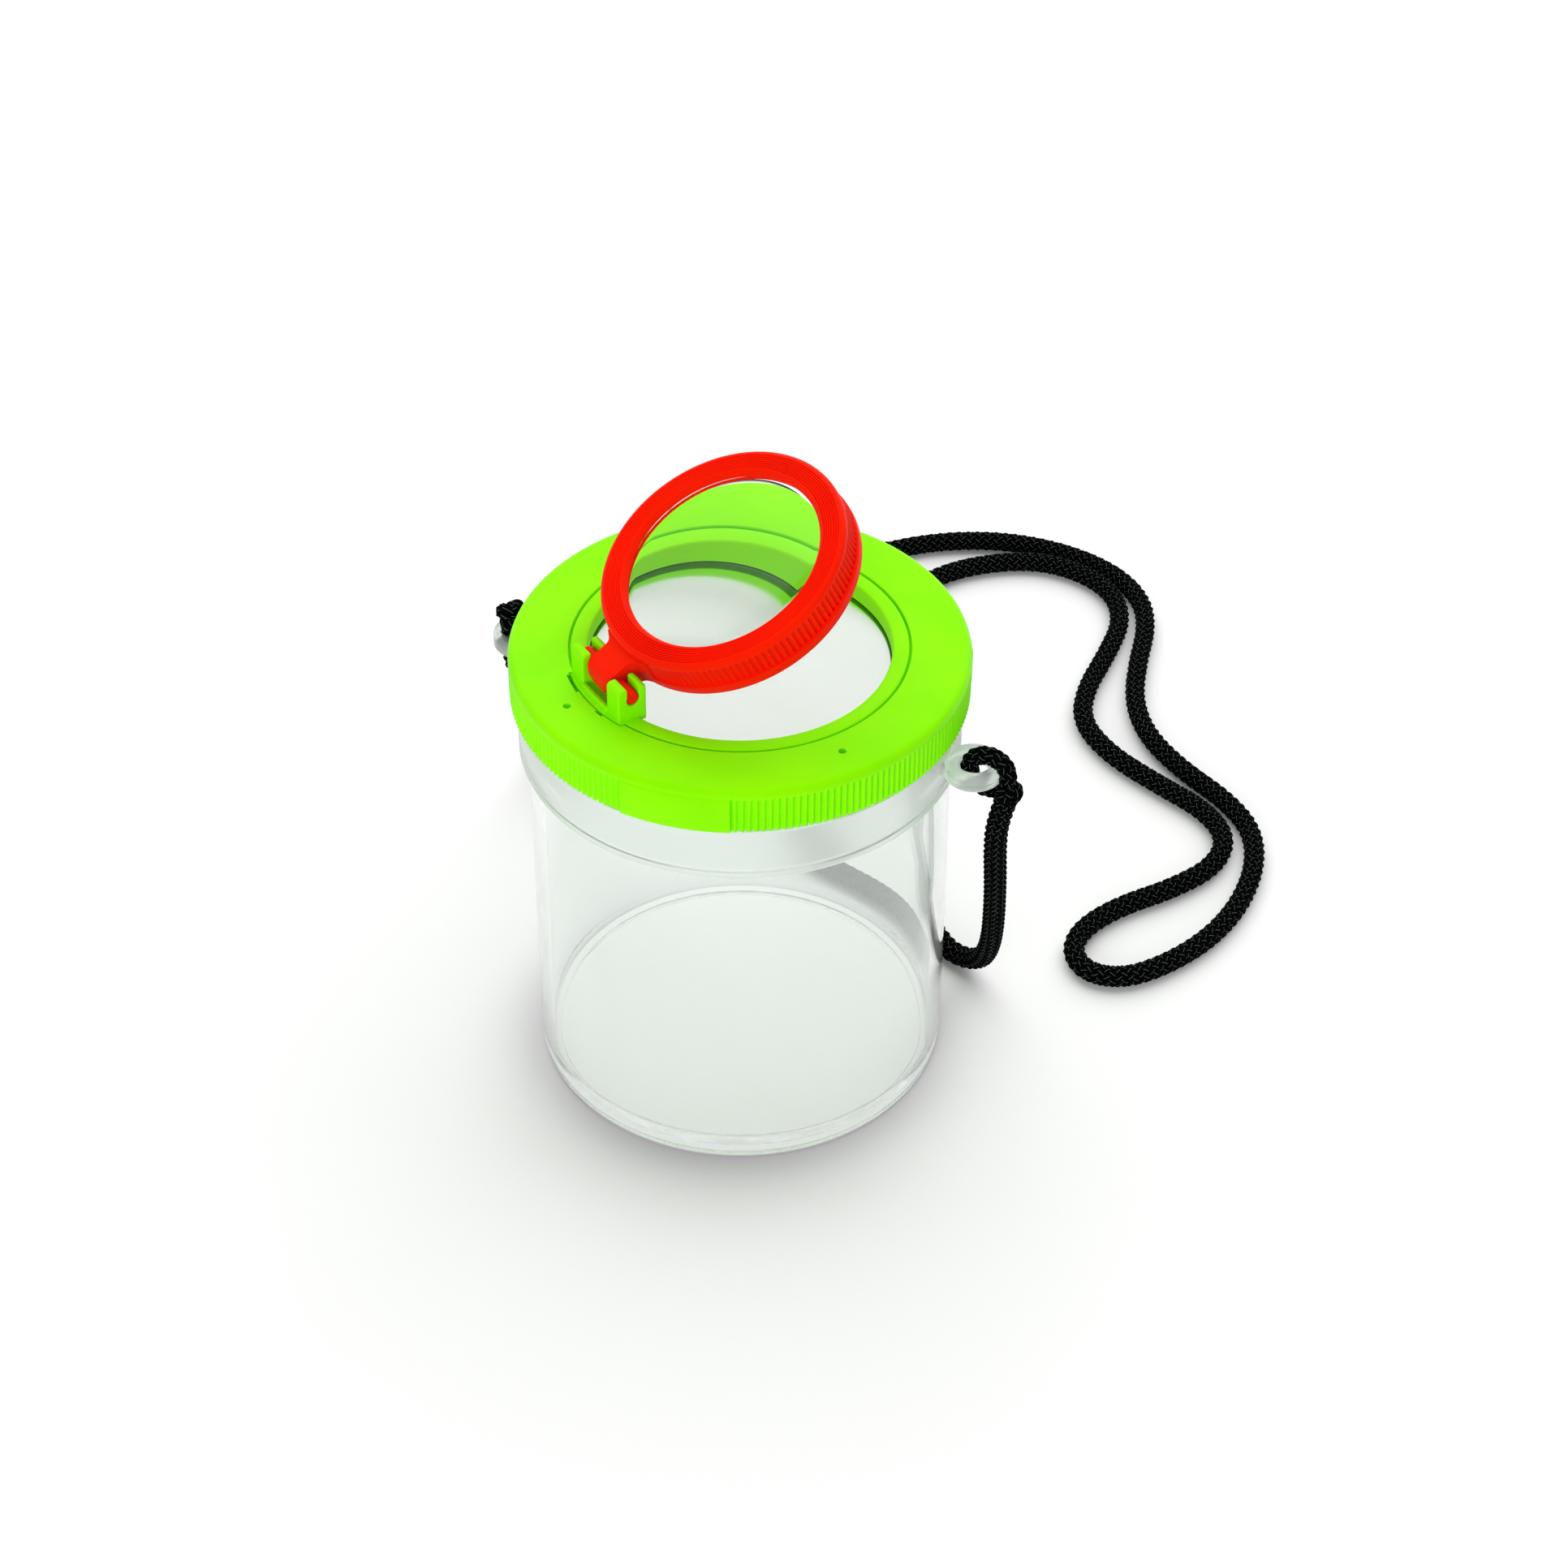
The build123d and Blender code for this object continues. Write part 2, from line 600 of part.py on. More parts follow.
def main():
    """Build every piece and write one file for each."""
    pieces = {
        "cup": make_cup(),
        "lid": make_lid(),
        "lens_ring": make_lens_ring(),
        "lid_lens": make_lid_lens(),
        "magnifier_frame": make_magnifier_frame(),
        "magnifier_lens": make_magnifier_lens(),
        "neck_cord": make_neck_cord(),
        "cord_loop": make_cord_loop(),
        "loop_knot": make_loop_knot(),
        "stopper_knot": make_stopper_knot(),
    }
    os.makedirs("parts", exist_ok=True)
    for name, solid in pieces.items():
        export_step(solid, f"parts/{name}.step")
    print("hinge point", HINGE_AXIS.position, "direction", HINGE_AXIS.direction)


main()
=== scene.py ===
"""Studio scene of a clear bug catcher jar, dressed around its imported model."""

import logging
import math

from collections.abc import Callable
from dataclasses import dataclass, field
from enum import Enum

import bpy
from mathutils import Matrix, Vector

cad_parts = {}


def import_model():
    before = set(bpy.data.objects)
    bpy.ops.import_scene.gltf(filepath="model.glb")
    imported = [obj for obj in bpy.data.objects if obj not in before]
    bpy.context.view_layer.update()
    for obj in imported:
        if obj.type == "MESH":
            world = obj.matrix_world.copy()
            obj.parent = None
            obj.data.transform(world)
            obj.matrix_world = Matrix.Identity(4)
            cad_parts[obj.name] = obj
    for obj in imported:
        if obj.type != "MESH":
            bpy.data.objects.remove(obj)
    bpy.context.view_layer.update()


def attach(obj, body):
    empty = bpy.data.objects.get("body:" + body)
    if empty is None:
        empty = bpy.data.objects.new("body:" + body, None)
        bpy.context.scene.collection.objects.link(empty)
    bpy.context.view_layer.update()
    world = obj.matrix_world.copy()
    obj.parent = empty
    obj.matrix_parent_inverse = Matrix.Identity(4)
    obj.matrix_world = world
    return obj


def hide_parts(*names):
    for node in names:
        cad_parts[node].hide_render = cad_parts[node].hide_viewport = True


LOG = logging.getLogger("jar")
MM = 0.001
FULL_TURN = 2 * math.pi
MERGE_DISTANCE = 1e-6

Point = tuple[float, float]
Corner = tuple[float, float, float]
Place = tuple[float, float, float]
Colour = tuple[float, float, float, float]
Span = tuple[float, float, float, float]


class Body(Enum):
    """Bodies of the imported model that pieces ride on."""

    CUP = "cup"
    LID = "lid"
    MAGNIFIER = "magnifier"


class Slot(Enum):
    """Material slots of the record."""

    CLEAR = "clear_plastic"
    LIME = "lime_plastic"
    RED = "red_plastic"
    LENS = "lens_plastic"
    CORD = "black_cord"


class Cut(Enum):
    """Ways in which two solids are combined."""

    JOIN = "UNION"
    REMOVE = "DIFFERENCE"
    KEEP_COMMON = "INTERSECT"


def deselect() -> None:
    """Leave edit mode and deselect every object."""
    if bpy.context.object and bpy.context.object.mode != "OBJECT":
        bpy.ops.object.mode_set(mode="OBJECT")
    bpy.ops.object.select_all(action="DESELECT")


def activate(piece: bpy.types.Object) -> None:
    """Select one object alone and make it active."""
    deselect()
    piece.select_set(True)
    bpy.context.view_layer.objects.active = piece


def rounded(corners: list[Corner], closed: bool, bend: int = 5) -> list[Point]:
    """Turn an outline's corners into points, with an arc at each rounded corner.

    Args:
        corners: Radius, height and rounding of each corner, in millimetres.
        closed: Whether the outline comes back to its first corner.
        bend: Number of steps in each arc.

    Returns:
        Points of the outline. A closed one ends on its first point.
    """
    points: list[Point] = []
    last = len(corners) - 1
    for index, (radius, height, size) in enumerate(corners):
        here = Vector((radius, height))
        if size == 0 or (not closed and index in (0, last)):
            points.append((radius, height))
            continue
        back = (Vector(corners[index - 1][:2]) - here).normalized()
        ahead = (Vector(corners[(index + 1) % len(corners)][:2]) - here).normalized()
        half = back.angle(ahead) / 2
        reach = size / math.tan(half)
        centre = here + (back + ahead).normalized() * (size / math.sin(half))
        start, end = here + back * reach - centre, here + ahead * reach - centre
        sweep = math.pi - 2 * half
        for step in range(bend + 1):
            share = step / bend
            spoke = start * math.sin((1 - share) * sweep) + end * math.sin(share * sweep)
            spot = centre + spoke / math.sin(sweep)
            points.append((spot.x, spot.y))
    if closed:
        points.append(points[0])
    return points


def draw_outline(name: str, outline: list[Point]) -> bpy.types.Object:
    """Draw an outline in the XZ plane by extruding one point along it.

    Args:
        name: Name of the new object.
        outline: Points to follow, in millimetres.

    Returns:
        The new object, in edit mode with its last point selected.
    """
    deselect()
    bpy.ops.mesh.primitive_plane_add(size=MM)
    piece = bpy.context.object
    piece.name = name
    bpy.ops.object.mode_set(mode="EDIT")
    bpy.ops.mesh.merge(type="CENTER")
    bpy.ops.transform.translate(value=(outline[0][0] * MM, 0, outline[0][1] * MM))
    for before, after in zip(outline, outline[1:]):
        shift = ((after[0] - before[0]) * MM, 0, (after[1] - before[1]) * MM)
        bpy.ops.mesh.extrude_region_move(TRANSFORM_OT_translate={"value": shift})
    return piece


def close_up(smooth_angle: float) -> None:
    """Merge doubles, turn normals outwards, leave edit mode and smooth the faces.

    Args:
        smooth_angle: Edges sharper than this many degrees stay crisp.
    """
    bpy.ops.mesh.select_all(action="SELECT")
    bpy.ops.mesh.remove_doubles(threshold=MERGE_DISTANCE)
    bpy.ops.mesh.normals_make_consistent(inside=False)
    bpy.ops.object.mode_set(mode="OBJECT")
    bpy.ops.object.shade_smooth_by_angle(angle=math.radians(smooth_angle))


def lathe(name: str, outline: list[Point], steps: int, smooth_angle: float = 32) -> bpy.types.Object:
    """Spin an outline round the Z axis.

    Args:
        name: Name of the piece.
        outline: Points of the outline, in millimetres from the axis and the floor.
        steps: Number of steps in the full turn.
        smooth_angle: Edges sharper than this many degrees stay crisp.

    Returns:
        The turned piece.
    """
    piece = draw_outline(name, outline)
    bpy.ops.mesh.select_all(action="SELECT")
    bpy.ops.mesh.spin(steps=steps, angle=FULL_TURN, center=(0, 0, 0), axis=(0, 0, 1))
    close_up(smooth_angle)
    return piece


def soften(piece: bpy.types.Object, edge: float, angle: float) -> None:
    """Bevel the sharp edges of a piece.

    Args:
        piece: The piece.
        edge: Width of the bevel in millimetres.
        angle: Edges sharper than this many degrees are bevelled.
    """
    activate(piece)
    bevel = piece.modifiers.new("edges", "BEVEL")
    bevel.width = edge * MM
    bevel.segments = 3
    bevel.limit_method = "ANGLE"
    bevel.angle_limit = math.radians(angle)
    bpy.ops.object.modifier_apply(modifier=bevel.name)
    bpy.ops.object.shade_smooth_by_angle(angle=math.radians(40))


def prism(name: str, outline: list[Point], width: float, edge: float) -> bpy.types.Object:
    """Extrude an outline of the XZ plane along Y and soften its edges.

    Args:
        name: Name of the piece.
        outline: Points of the outline, in millimetres, without a repeated end.
        width: Width along Y, centred, in millimetres.
        edge: Width of the bevel along the edges, in millimetres.

    Returns:
        The prism.
    """
    piece = draw_outline(name, outline)
    bpy.ops.mesh.select_all(action="SELECT")
    bpy.ops.mesh.edge_face_add()
    bpy.ops.transform.translate(value=(0, -width / 2 * MM, 0))
    bpy.ops.mesh.extrude_region_move(TRANSFORM_OT_translate={"value": (0, width * MM, 0)})
    close_up(30)
    if edge:
        soften(piece, edge, 40)
    return piece


def plate(name: str, outline: list[Point], low: float, high: float, edge: float) -> bpy.types.Object:
    """Make an upright plate from its outline in plan.

    Args:
        name: Name of the piece.
        outline: Points of the outline in the XY plane, in millimetres, without a repeated end.
        low: Height of its lower side.
        high: Height of its upper side.
        edge: Width of the bevel along the edges.

    Returns:
        The plate.
    """
    piece = prism(name, outline, high - low, edge)
    upright = Matrix.Rotation(-math.pi / 2, 4, "X")
    return move(piece, Matrix.Translation((0, 0, (low + high) / 2 * MM)) @ upright)


def turn_z(angle: float) -> Matrix:
    """Matrix that turns by an angle in degrees round the Z axis."""
    return Matrix.Rotation(math.radians(angle), 4, "Z")


def grey(level: float) -> Colour:
    """Neutral colour of one level."""
    return (level, level, level, 1)


def gather(tools: list[bpy.types.Object]) -> bpy.types.Object:
    """Join solids that don't touch each other into one object, for one carve."""
    deselect()
    for tool in tools:
        tool.select_set(True)
    bpy.context.view_layer.objects.active = tools[0]
    bpy.ops.object.join()
    return tools[0]


def move(piece: bpy.types.Object, matrix: Matrix) -> bpy.types.Object:
    """Place a piece in its mesh, so that its object stays at the origin."""
    piece.data.transform(matrix)
    piece.data.update()
    return piece


def combine(piece: bpy.types.Object, tool: bpy.types.Object, cut: Cut, smooth_angle: float = 32) -> None:
    """Join a second solid to a piece, or cut it away, and delete the second one.

    Args:
        piece: Solid that is kept.
        tool: Solid that is used up.
        cut: How the two are combined.
        smooth_angle: Edges sharper than this many degrees stay crisp.
    """
    activate(piece)
    carve = piece.modifiers.new("carve", "BOOLEAN")
    carve.operation = cut.value
    carve.solver = "EXACT"
    carve.object = tool
    bpy.ops.object.modifier_apply(modifier=carve.name)
    bpy.data.objects.remove(tool)
    bpy.ops.object.shade_smooth_by_angle(angle=math.radians(smooth_angle))


def reseat(piece: bpy.types.Object, steps: int, seat: Callable[[int, float, float], Point]) -> None:
    """Move the points of a turned piece in angle and radius.

    Args:
        piece: Piece from the lathe.
        steps: Its number of steps.
        seat: Gives the angle in radians and the radius in metres for a step's number,
            a radius and a height in metres.
    """
    for point in piece.data.vertices:
        radius = math.hypot(point.co.x, point.co.y)
        turn = math.atan2(point.co.y, point.co.x) % FULL_TURN
        angle, radius = seat(round(turn / FULL_TURN * steps) % steps, radius, point.co.z)
        point.co.x, point.co.y = radius * math.cos(angle), radius * math.sin(angle)
    piece.data.update()


def dome(radius: float, ledge: float, top: float, edge: float, rise: float) -> list[Point]:
    """Half outline of a biconvex lens with a flat ledge.

    Args:
        radius: Outer radius in millimetres.
        ledge: Width of the flat ledge.
        top: Height of the upper ledge.
        edge: Thickness of the edge.
        rise: Rise of each dome.

    Returns:
        Points from the upper pole to the lower one.
    """
    rim = radius - ledge
    upper: list[Point] = []
    lower: list[Point] = []
    curve = (rim**2 + rise**2) / (2 * rise)
    for step in range(25):
        out = rim * step / 24
        lift = math.sqrt(curve**2 - out**2) - curve + rise
        upper.append((out, top + lift))
        lower.append((out, top - edge - lift))
    side = [(radius - 0.1, top), (radius, top - 0.1), (radius, top - edge + 0.1), (radius - 0.1, top - edge)]
    return upper + side + lower[::-1]


@dataclass
class Sheet:
    """A node tree with short calls to add and link nodes."""

    tree: bpy.types.NodeTree

    def add(self, kind: str, **settings: object) -> bpy.types.Node:
        """Add a node and set its properties.

        Args:
            kind: Node type without its ShaderNode prefix.
            **settings: Properties of the node.

        Returns:
            The node.
        """
        prefix = "" if kind.startswith("NodeGroup") else "ShaderNode"
        node = self.tree.nodes.new(prefix + kind)
        for name, value in settings.items():
            setattr(node, name, value)
        return node

    def link(self, source: bpy.types.NodeSocket, target: bpy.types.NodeSocket) -> None:
        """Link an output socket to an input socket."""
        self.tree.links.new(source, target)

    def math(self, operation: str, first: object, second: object = None) -> bpy.types.NodeSocket:
        """Add a Math node.

        Args:
            operation: Name of the operation.
            first: Socket or number for the first input.
            second: Socket or number for the second input.

        Returns:
            The value socket.
        """
        node = self.add("Math", operation=operation)
        for socket, value in zip(node.inputs, (first, second)):
            if isinstance(value, bpy.types.NodeSocket):
                self.link(value, socket)
            elif value is not None:
                socket.default_value = value
        return node.outputs[0]

    def blend(self, share: bpy.types.NodeSocket, first: object, second: object) -> bpy.types.NodeSocket:
        """Mix two colours by a share and return the colour socket."""
        node = self.add("Mix", data_type="RGBA")
        self.link(share, node.inputs[0])
        for socket, value in ((node.inputs[6], first), (node.inputs[7], second)):
            if isinstance(value, bpy.types.NodeSocket):
                self.link(value, socket)
            else:
                socket.default_value = value
        return node.outputs[2]

    def ramp(self, value: bpy.types.NodeSocket, spans: Span) -> bpy.types.NodeSocket:
        """Map a value from one span to another, smoothly.

        Args:
            value: Socket to map.
            spans: From low, from high, to low and to high.

        Returns:
            The mapped value.
        """
        node = self.add("MapRange", interpolation_type="SMOOTHSTEP")
        self.link(value, node.inputs[0])
        for socket, number in zip(node.inputs[1:5], spans):
            socket.default_value = number
        return node.outputs[0]

    def noise(self, scale: float, detail: float, vector: bpy.types.NodeSocket) -> bpy.types.NodeSocket:
        """Add a noise texture on a vector and return its value socket."""
        node = self.add("TexNoise")
        node.inputs["Detail"].default_value = detail
        node.inputs["Scale"].default_value = scale
        self.link(vector, node.inputs["Vector"])
        return node.outputs["Fac"]


def new_group(
    name: str, inputs: dict[str, str], outputs: dict[str, str]
) -> tuple[Sheet, bpy.types.Node, bpy.types.Node]:
    """Start a shader node group with named sockets.

    Args:
        name: Name of the group.
        inputs: Socket types by input name.
        outputs: Socket types by output name.

    Returns:
        The group's sheet, its input node and its output node.
    """
    tree = bpy.data.node_groups.new(name, "ShaderNodeTree")
    for label, kind in inputs.items():
        tree.interface.new_socket(name=label, in_out="INPUT", socket_type="NodeSocket" + kind)
    for label, kind in outputs.items():
        tree.interface.new_socket(name=label, in_out="OUTPUT", socket_type="NodeSocket" + kind)
    sheet = Sheet(tree)
    return sheet, sheet.add("NodeGroupInput"), sheet.add("NodeGroupOutput")


@dataclass
class SharedEffects:
    """Node groups that several finishes use."""

    moulding: bpy.types.NodeTree = field(init=False)
    plait: bpy.types.NodeTree = field(init=False)

    def __post_init__(self) -> None:
        """Build each group once."""
        self.moulding = self.make_moulding()
        self.plait = self.make_plait()

    def make_moulding(self) -> bpy.types.NodeTree:
        """Build the tone, gloss and grain of moulded plastic."""
        sheet, given, result = new_group(
            "moulding",
            {"Tone": "Color", "Deep Tone": "Color", "Low Gloss": "Float", "High Gloss": "Float"},
            {"Color": "Color", "Roughness": "Float", "Height": "Float"},
        )
        place = sheet.add("TexCoord").outputs["Object"]
        flow = sheet.ramp(sheet.noise(55, 3, place), (0.3, 0.7, 0, 1))
        tone = sheet.blend(flow, given.outputs["Tone"], given.outputs["Deep Tone"])
        sheet.link(tone, result.inputs["Color"])
        polish = sheet.add("MapRange")
        sheet.link(sheet.noise(420, 4, place), polish.inputs[0])
        sheet.link(given.outputs["Low Gloss"], polish.inputs[3])
        sheet.link(given.outputs["High Gloss"], polish.inputs[4])
        sheet.link(polish.outputs[0], result.inputs["Roughness"])
        grain = sheet.noise(3800, 2, place)
        swell = sheet.math("MULTIPLY", sheet.noise(160, 1, place), 1.5)
        sheet.link(sheet.math("ADD", grain, swell), result.inputs["Height"])
        return sheet.tree

    def make_plait(self) -> bpy.types.NodeTree:
        """Build the crossed strands and yarns of a round braid."""
        sheet, given, result = new_group(
            "plait",
            {"Strands": "Float", "Crossings": "Float", "Yarns": "Float"},
            {"Crest": "Float", "Yarn": "Float"},
        )
        split = sheet.add("SeparateXYZ")
        sheet.link(sheet.add("UVMap", uv_map="braid").outputs["UV"], split.inputs[0])
        around = sheet.math("MULTIPLY", split.outputs["X"], given.outputs["Strands"])
        along = sheet.math("MULTIPLY", split.outputs["Y"], given.outputs["Crossings"])
        right = sheet.math("ADD", around, along)
        left = sheet.math("SUBTRACT", around, along)
        cells = sheet.math("ADD", sheet.math("FLOOR", right), sheet.math("FLOOR", left))
        swap = sheet.math("FLOORED_MODULO", cells, 2.0)
        right_share = sheet.math("FRACT", right)
        left_share = sheet.math("FRACT", left)
        gap = sheet.math("SUBTRACT", left_share, right_share)
        across = sheet.math("ADD", right_share, sheet.math("MULTIPLY", gap, swap))
        crest = sheet.math("SINE", sheet.math("MULTIPLY", across, math.pi))
        sheet.link(crest, result.inputs["Crest"])
        turns = sheet.math("MULTIPLY", across, sheet.math("MULTIPLY", given.outputs["Yarns"], FULL_TURN))
        wave = sheet.math("MULTIPLY", sheet.math("SINE", turns), 0.5)
        sheet.link(sheet.math("ADD", wave, 0.5), result.inputs["Yarn"])
        return sheet.tree


def new_material(name: str) -> tuple[bpy.types.Material, Sheet, bpy.types.Node]:
    """Start a node material.

    Args:
        name: Name of the material.

    Returns:
        The material, its sheet and its Principled node.
    """
    material = bpy.data.materials.new(name)
    material.use_nodes = True
    sheet = Sheet(material.node_tree)
    return material, sheet, material.node_tree.nodes["Principled BSDF"]


def use_group(sheet: Sheet, tree: bpy.types.NodeTree, values: dict[str, object]) -> bpy.types.Node:
    """Place a node group in a material with its own values.

    Args:
        sheet: Sheet of the material.
        tree: The group.
        values: Values by input name.

    Returns:
        The group node.
    """
    node = sheet.add("Group", node_tree=tree)
    for label, value in values.items():
        node.inputs[label].default_value = value
    return node


def add_bump(
    sheet: Sheet, shader: bpy.types.Node, height: bpy.types.NodeSocket, strength: float, depth: float
) -> None:
    """Feed a height to a shader's normal.

    Args:
        sheet: Sheet of the material.
        shader: Shader that gets the normal.
        height: Height socket.
        strength: Strength of the bump.
        depth: Real depth in metres.
    """
    bump = sheet.add("Bump")
    bump.inputs["Strength"].default_value = strength
    bump.inputs["Distance"].default_value = depth
    sheet.link(height, bump.inputs["Height"])
    sheet.link(bump.outputs["Normal"], shader.inputs["Normal"])


@dataclass(frozen=True)
class SatinPlastic:
    """Opaque moulded plastic with a satin gloss."""

    name: str
    tone: Colour
    deep_tone: Colour
    low_gloss: float
    high_gloss: float
    shine: Colour
    sparkle: float = 0.14
    index: float = 1.49
    grain: float = 0.12
    grain_depth: float = 0.00004

    def make(self, effects: SharedEffects) -> bpy.types.Material:
        """Build the material.

        Args:
            effects: Shared node groups.

        Returns:
            The material.
        """
        material, sheet, shader = new_material(self.name)
        skin = use_group(
            sheet,
            effects.moulding,
            {
                "Tone": self.tone,
                "Deep Tone": self.deep_tone,
                "Low Gloss": self.low_gloss,
                "High Gloss": self.high_gloss,
            },
        )
        sheet.link(skin.outputs["Color"], shader.inputs["Base Color"])
        sheet.link(skin.outputs["Roughness"], shader.inputs["Roughness"])
        shader.inputs["IOR"].default_value = self.index
        shader.inputs["Specular IOR Level"].default_value = self.sparkle
        shader.inputs["Specular Tint"].default_value = self.shine
        add_bump(sheet, shader, skin.outputs["Height"], self.grain, self.grain_depth)
        return material


@dataclass(frozen=True)
class Band:
    """Band of a piece outside a radius and between two heights, in metres."""

    radius: float
    low: float
    high: float

    def mask(self, sheet: Sheet) -> bpy.types.NodeSocket:
        """Add nodes that give one on the band and zero elsewhere."""
        place = sheet.add("SeparateXYZ")
        sheet.link(sheet.add("TexCoord").outputs["Object"], place.inputs[0])
        x, y, height = place.outputs
        square = sheet.math("ADD", sheet.math("MULTIPLY", x, x), sheet.math("MULTIPLY", y, y))
        outside = sheet.math("GREATER_THAN", sheet.math("SQRT", square), self.radius)
        above = sheet.math("GREATER_THAN", height, self.low)
        below = sheet.math("LESS_THAN", height, self.high)
        return sheet.math("MULTIPLY", outside, sheet.math("MULTIPLY", above, below))


@dataclass(frozen=True)
class MilkAndShadeBand:
    """Band of a clear piece: cloudy on the cup's collar, and tinted dark as painted shade on the lid lens's
    edge.

    The haze is its roughness, and the share is how much of it scatters light.
    """

    band: Band
    tone: Colour
    haze: float = 0.0
    share: float = 0.0


@dataclass(frozen=True)
class ClearPlastic:
    """Clear moulded plastic that lets light through to what lies behind it.

    It may have a tinted band, which is cloudy on the cup and painted shade on the lid lens, and a heel that
    lets less light through to the floor beside it.
    """

    name: str
    tint: Colour
    index: float
    shade: float
    roughness: float = 0.0
    clarity: float = 1.0
    mirror: float = 1.0
    milk_and_shade: MilkAndShadeBand | None = None
    heel: Band | None = None
    heel_shade: float = 0.04

    def make(self) -> bpy.types.Material:
        """Build the material."""
        material, sheet, shader = new_material(self.name)
        values = {
            "Base Color": self.tint,
            "Roughness": self.roughness,
            "IOR": self.index,
            "Transmission Weight": self.clarity,
            "Specular Tint": grey(self.mirror),
        }
        for label, value in values.items():
            shader.inputs[label].default_value = value
        body = self.add_milk_and_shade(sheet, shader, self.milk_and_shade) if self.milk_and_shade else shader
        rays = sheet.add("LightPath").outputs
        mix = sheet.add("MixShader")
        sheet.link(sheet.math("MAXIMUM", rays["Is Shadow Ray"], rays["Is Diffuse Ray"]), mix.inputs[0])
        sheet.link(body.outputs[0], mix.inputs[1])
        sheet.link(self.add_shade(sheet).outputs[0], mix.inputs[2])
        sheet.link(mix.outputs[0], sheet.tree.nodes["Material Output"].inputs["Surface"])
        return material

    def add_milk_and_shade(self, sheet: Sheet, shader: bpy.types.Node, milk_and_shade: MilkAndShadeBand) -> bpy.types.Node:
        """Tint a band, pale where it is cloudy and dark where the tint is painted shade, and let a cloudy
        band scatter light.

        Args:
            sheet: Sheet of the material.
            shader: Clear shader.
            milk_and_shade: The band and its look.

        Returns:
            The shader node to use in place of the clear one.
        """
        milk_and_shade_mask = milk_and_shade.band.mask(sheet)
        # The band's tone goes into the base colour. On the lid lens it is a dark green tint, which is painted
        # shade at the lens edge.
        sheet.link(sheet.blend(milk_and_shade_mask, self.tint, milk_and_shade.tone), shader.inputs["Base Color"])
        if not milk_and_shade.share:
            return shader
        sheet.link(sheet.math("MULTIPLY", milk_and_shade_mask, milk_and_shade.haze), shader.inputs["Roughness"])
        scatter = sheet.add("BsdfDiffuse")
        scatter.inputs["Color"].default_value = milk_and_shade.tone
        body = sheet.add("MixShader")
        sheet.link(sheet.math("MULTIPLY", milk_and_shade_mask, milk_and_shade.share), body.inputs[0])
        sheet.link(shader.outputs[0], body.inputs[1])
        sheet.link(scatter.outputs[0], body.inputs[2])
        return body

    def add_shade(self, sheet: Sheet) -> bpy.types.Node:
        """Add the clear shader of shadow and diffuse rays, dim on the front of the heel."""
        through = sheet.add("BsdfTransparent")
        through.inputs["Color"].default_value = grey(self.shade)
        if self.heel:
            front = sheet.math("SUBTRACT", 1, sheet.add("NewGeometry").outputs["Backfacing"])
            dim = sheet.math("MULTIPLY", self.heel.mask(sheet), front)
            tone = sheet.blend(dim, grey(self.shade), grey(self.heel_shade))
            sheet.link(tone, through.inputs["Color"])
        return through


@dataclass(frozen=True)
class BraidedCord:
    """Black synthetic braid with painted glints on its yarn crests and a slight specular sheen."""

    name: str
    strands: float
    crossings: float
    valley: Colour = (0.0004, 0.0006, 0.0006, 1)
    # Colour of the painted glints: a lighter grey on the yarn crests.
    crest: Colour = (0.34, 0.4, 0.38, 1)
    yarns: float = 4
    painted_glint_power: float = 22.0
    sheen: float = 0.02
    yarn_bump: float = 0.5
    yarn_depth: float = 0.00012

    def make(self, effects: SharedEffects) -> bpy.types.Material:
        """Build the material.

        Args:
            effects: Shared node groups.

        Returns:
            The material.
        """
        material, sheet, shader = new_material(self.name)
        plait = use_group(
            sheet,
            effects.plait,
            {"Strands": self.strands, "Crossings": self.crossings, "Yarns": self.yarns},
        )
        # Painted glints: the yarn crests get a lighter base colour, narrowed by the power, in place of real
        # highlights.
        light = sheet.math("MULTIPLY", plait.outputs["Crest"], plait.outputs["Yarn"])
        painted_glint = sheet.math("POWER", light, self.painted_glint_power)
        sheet.link(sheet.blend(painted_glint, self.valley, self.crest), shader.inputs["Base Color"])
        sheet.link(sheet.ramp(painted_glint, (0, 1, 0.8, 0.4)), shader.inputs["Roughness"])
        shader.inputs["Specular IOR Level"].default_value = self.sheen
        add_bump(sheet, shader, plait.outputs["Yarn"], self.yarn_bump, self.yarn_depth)
        return material


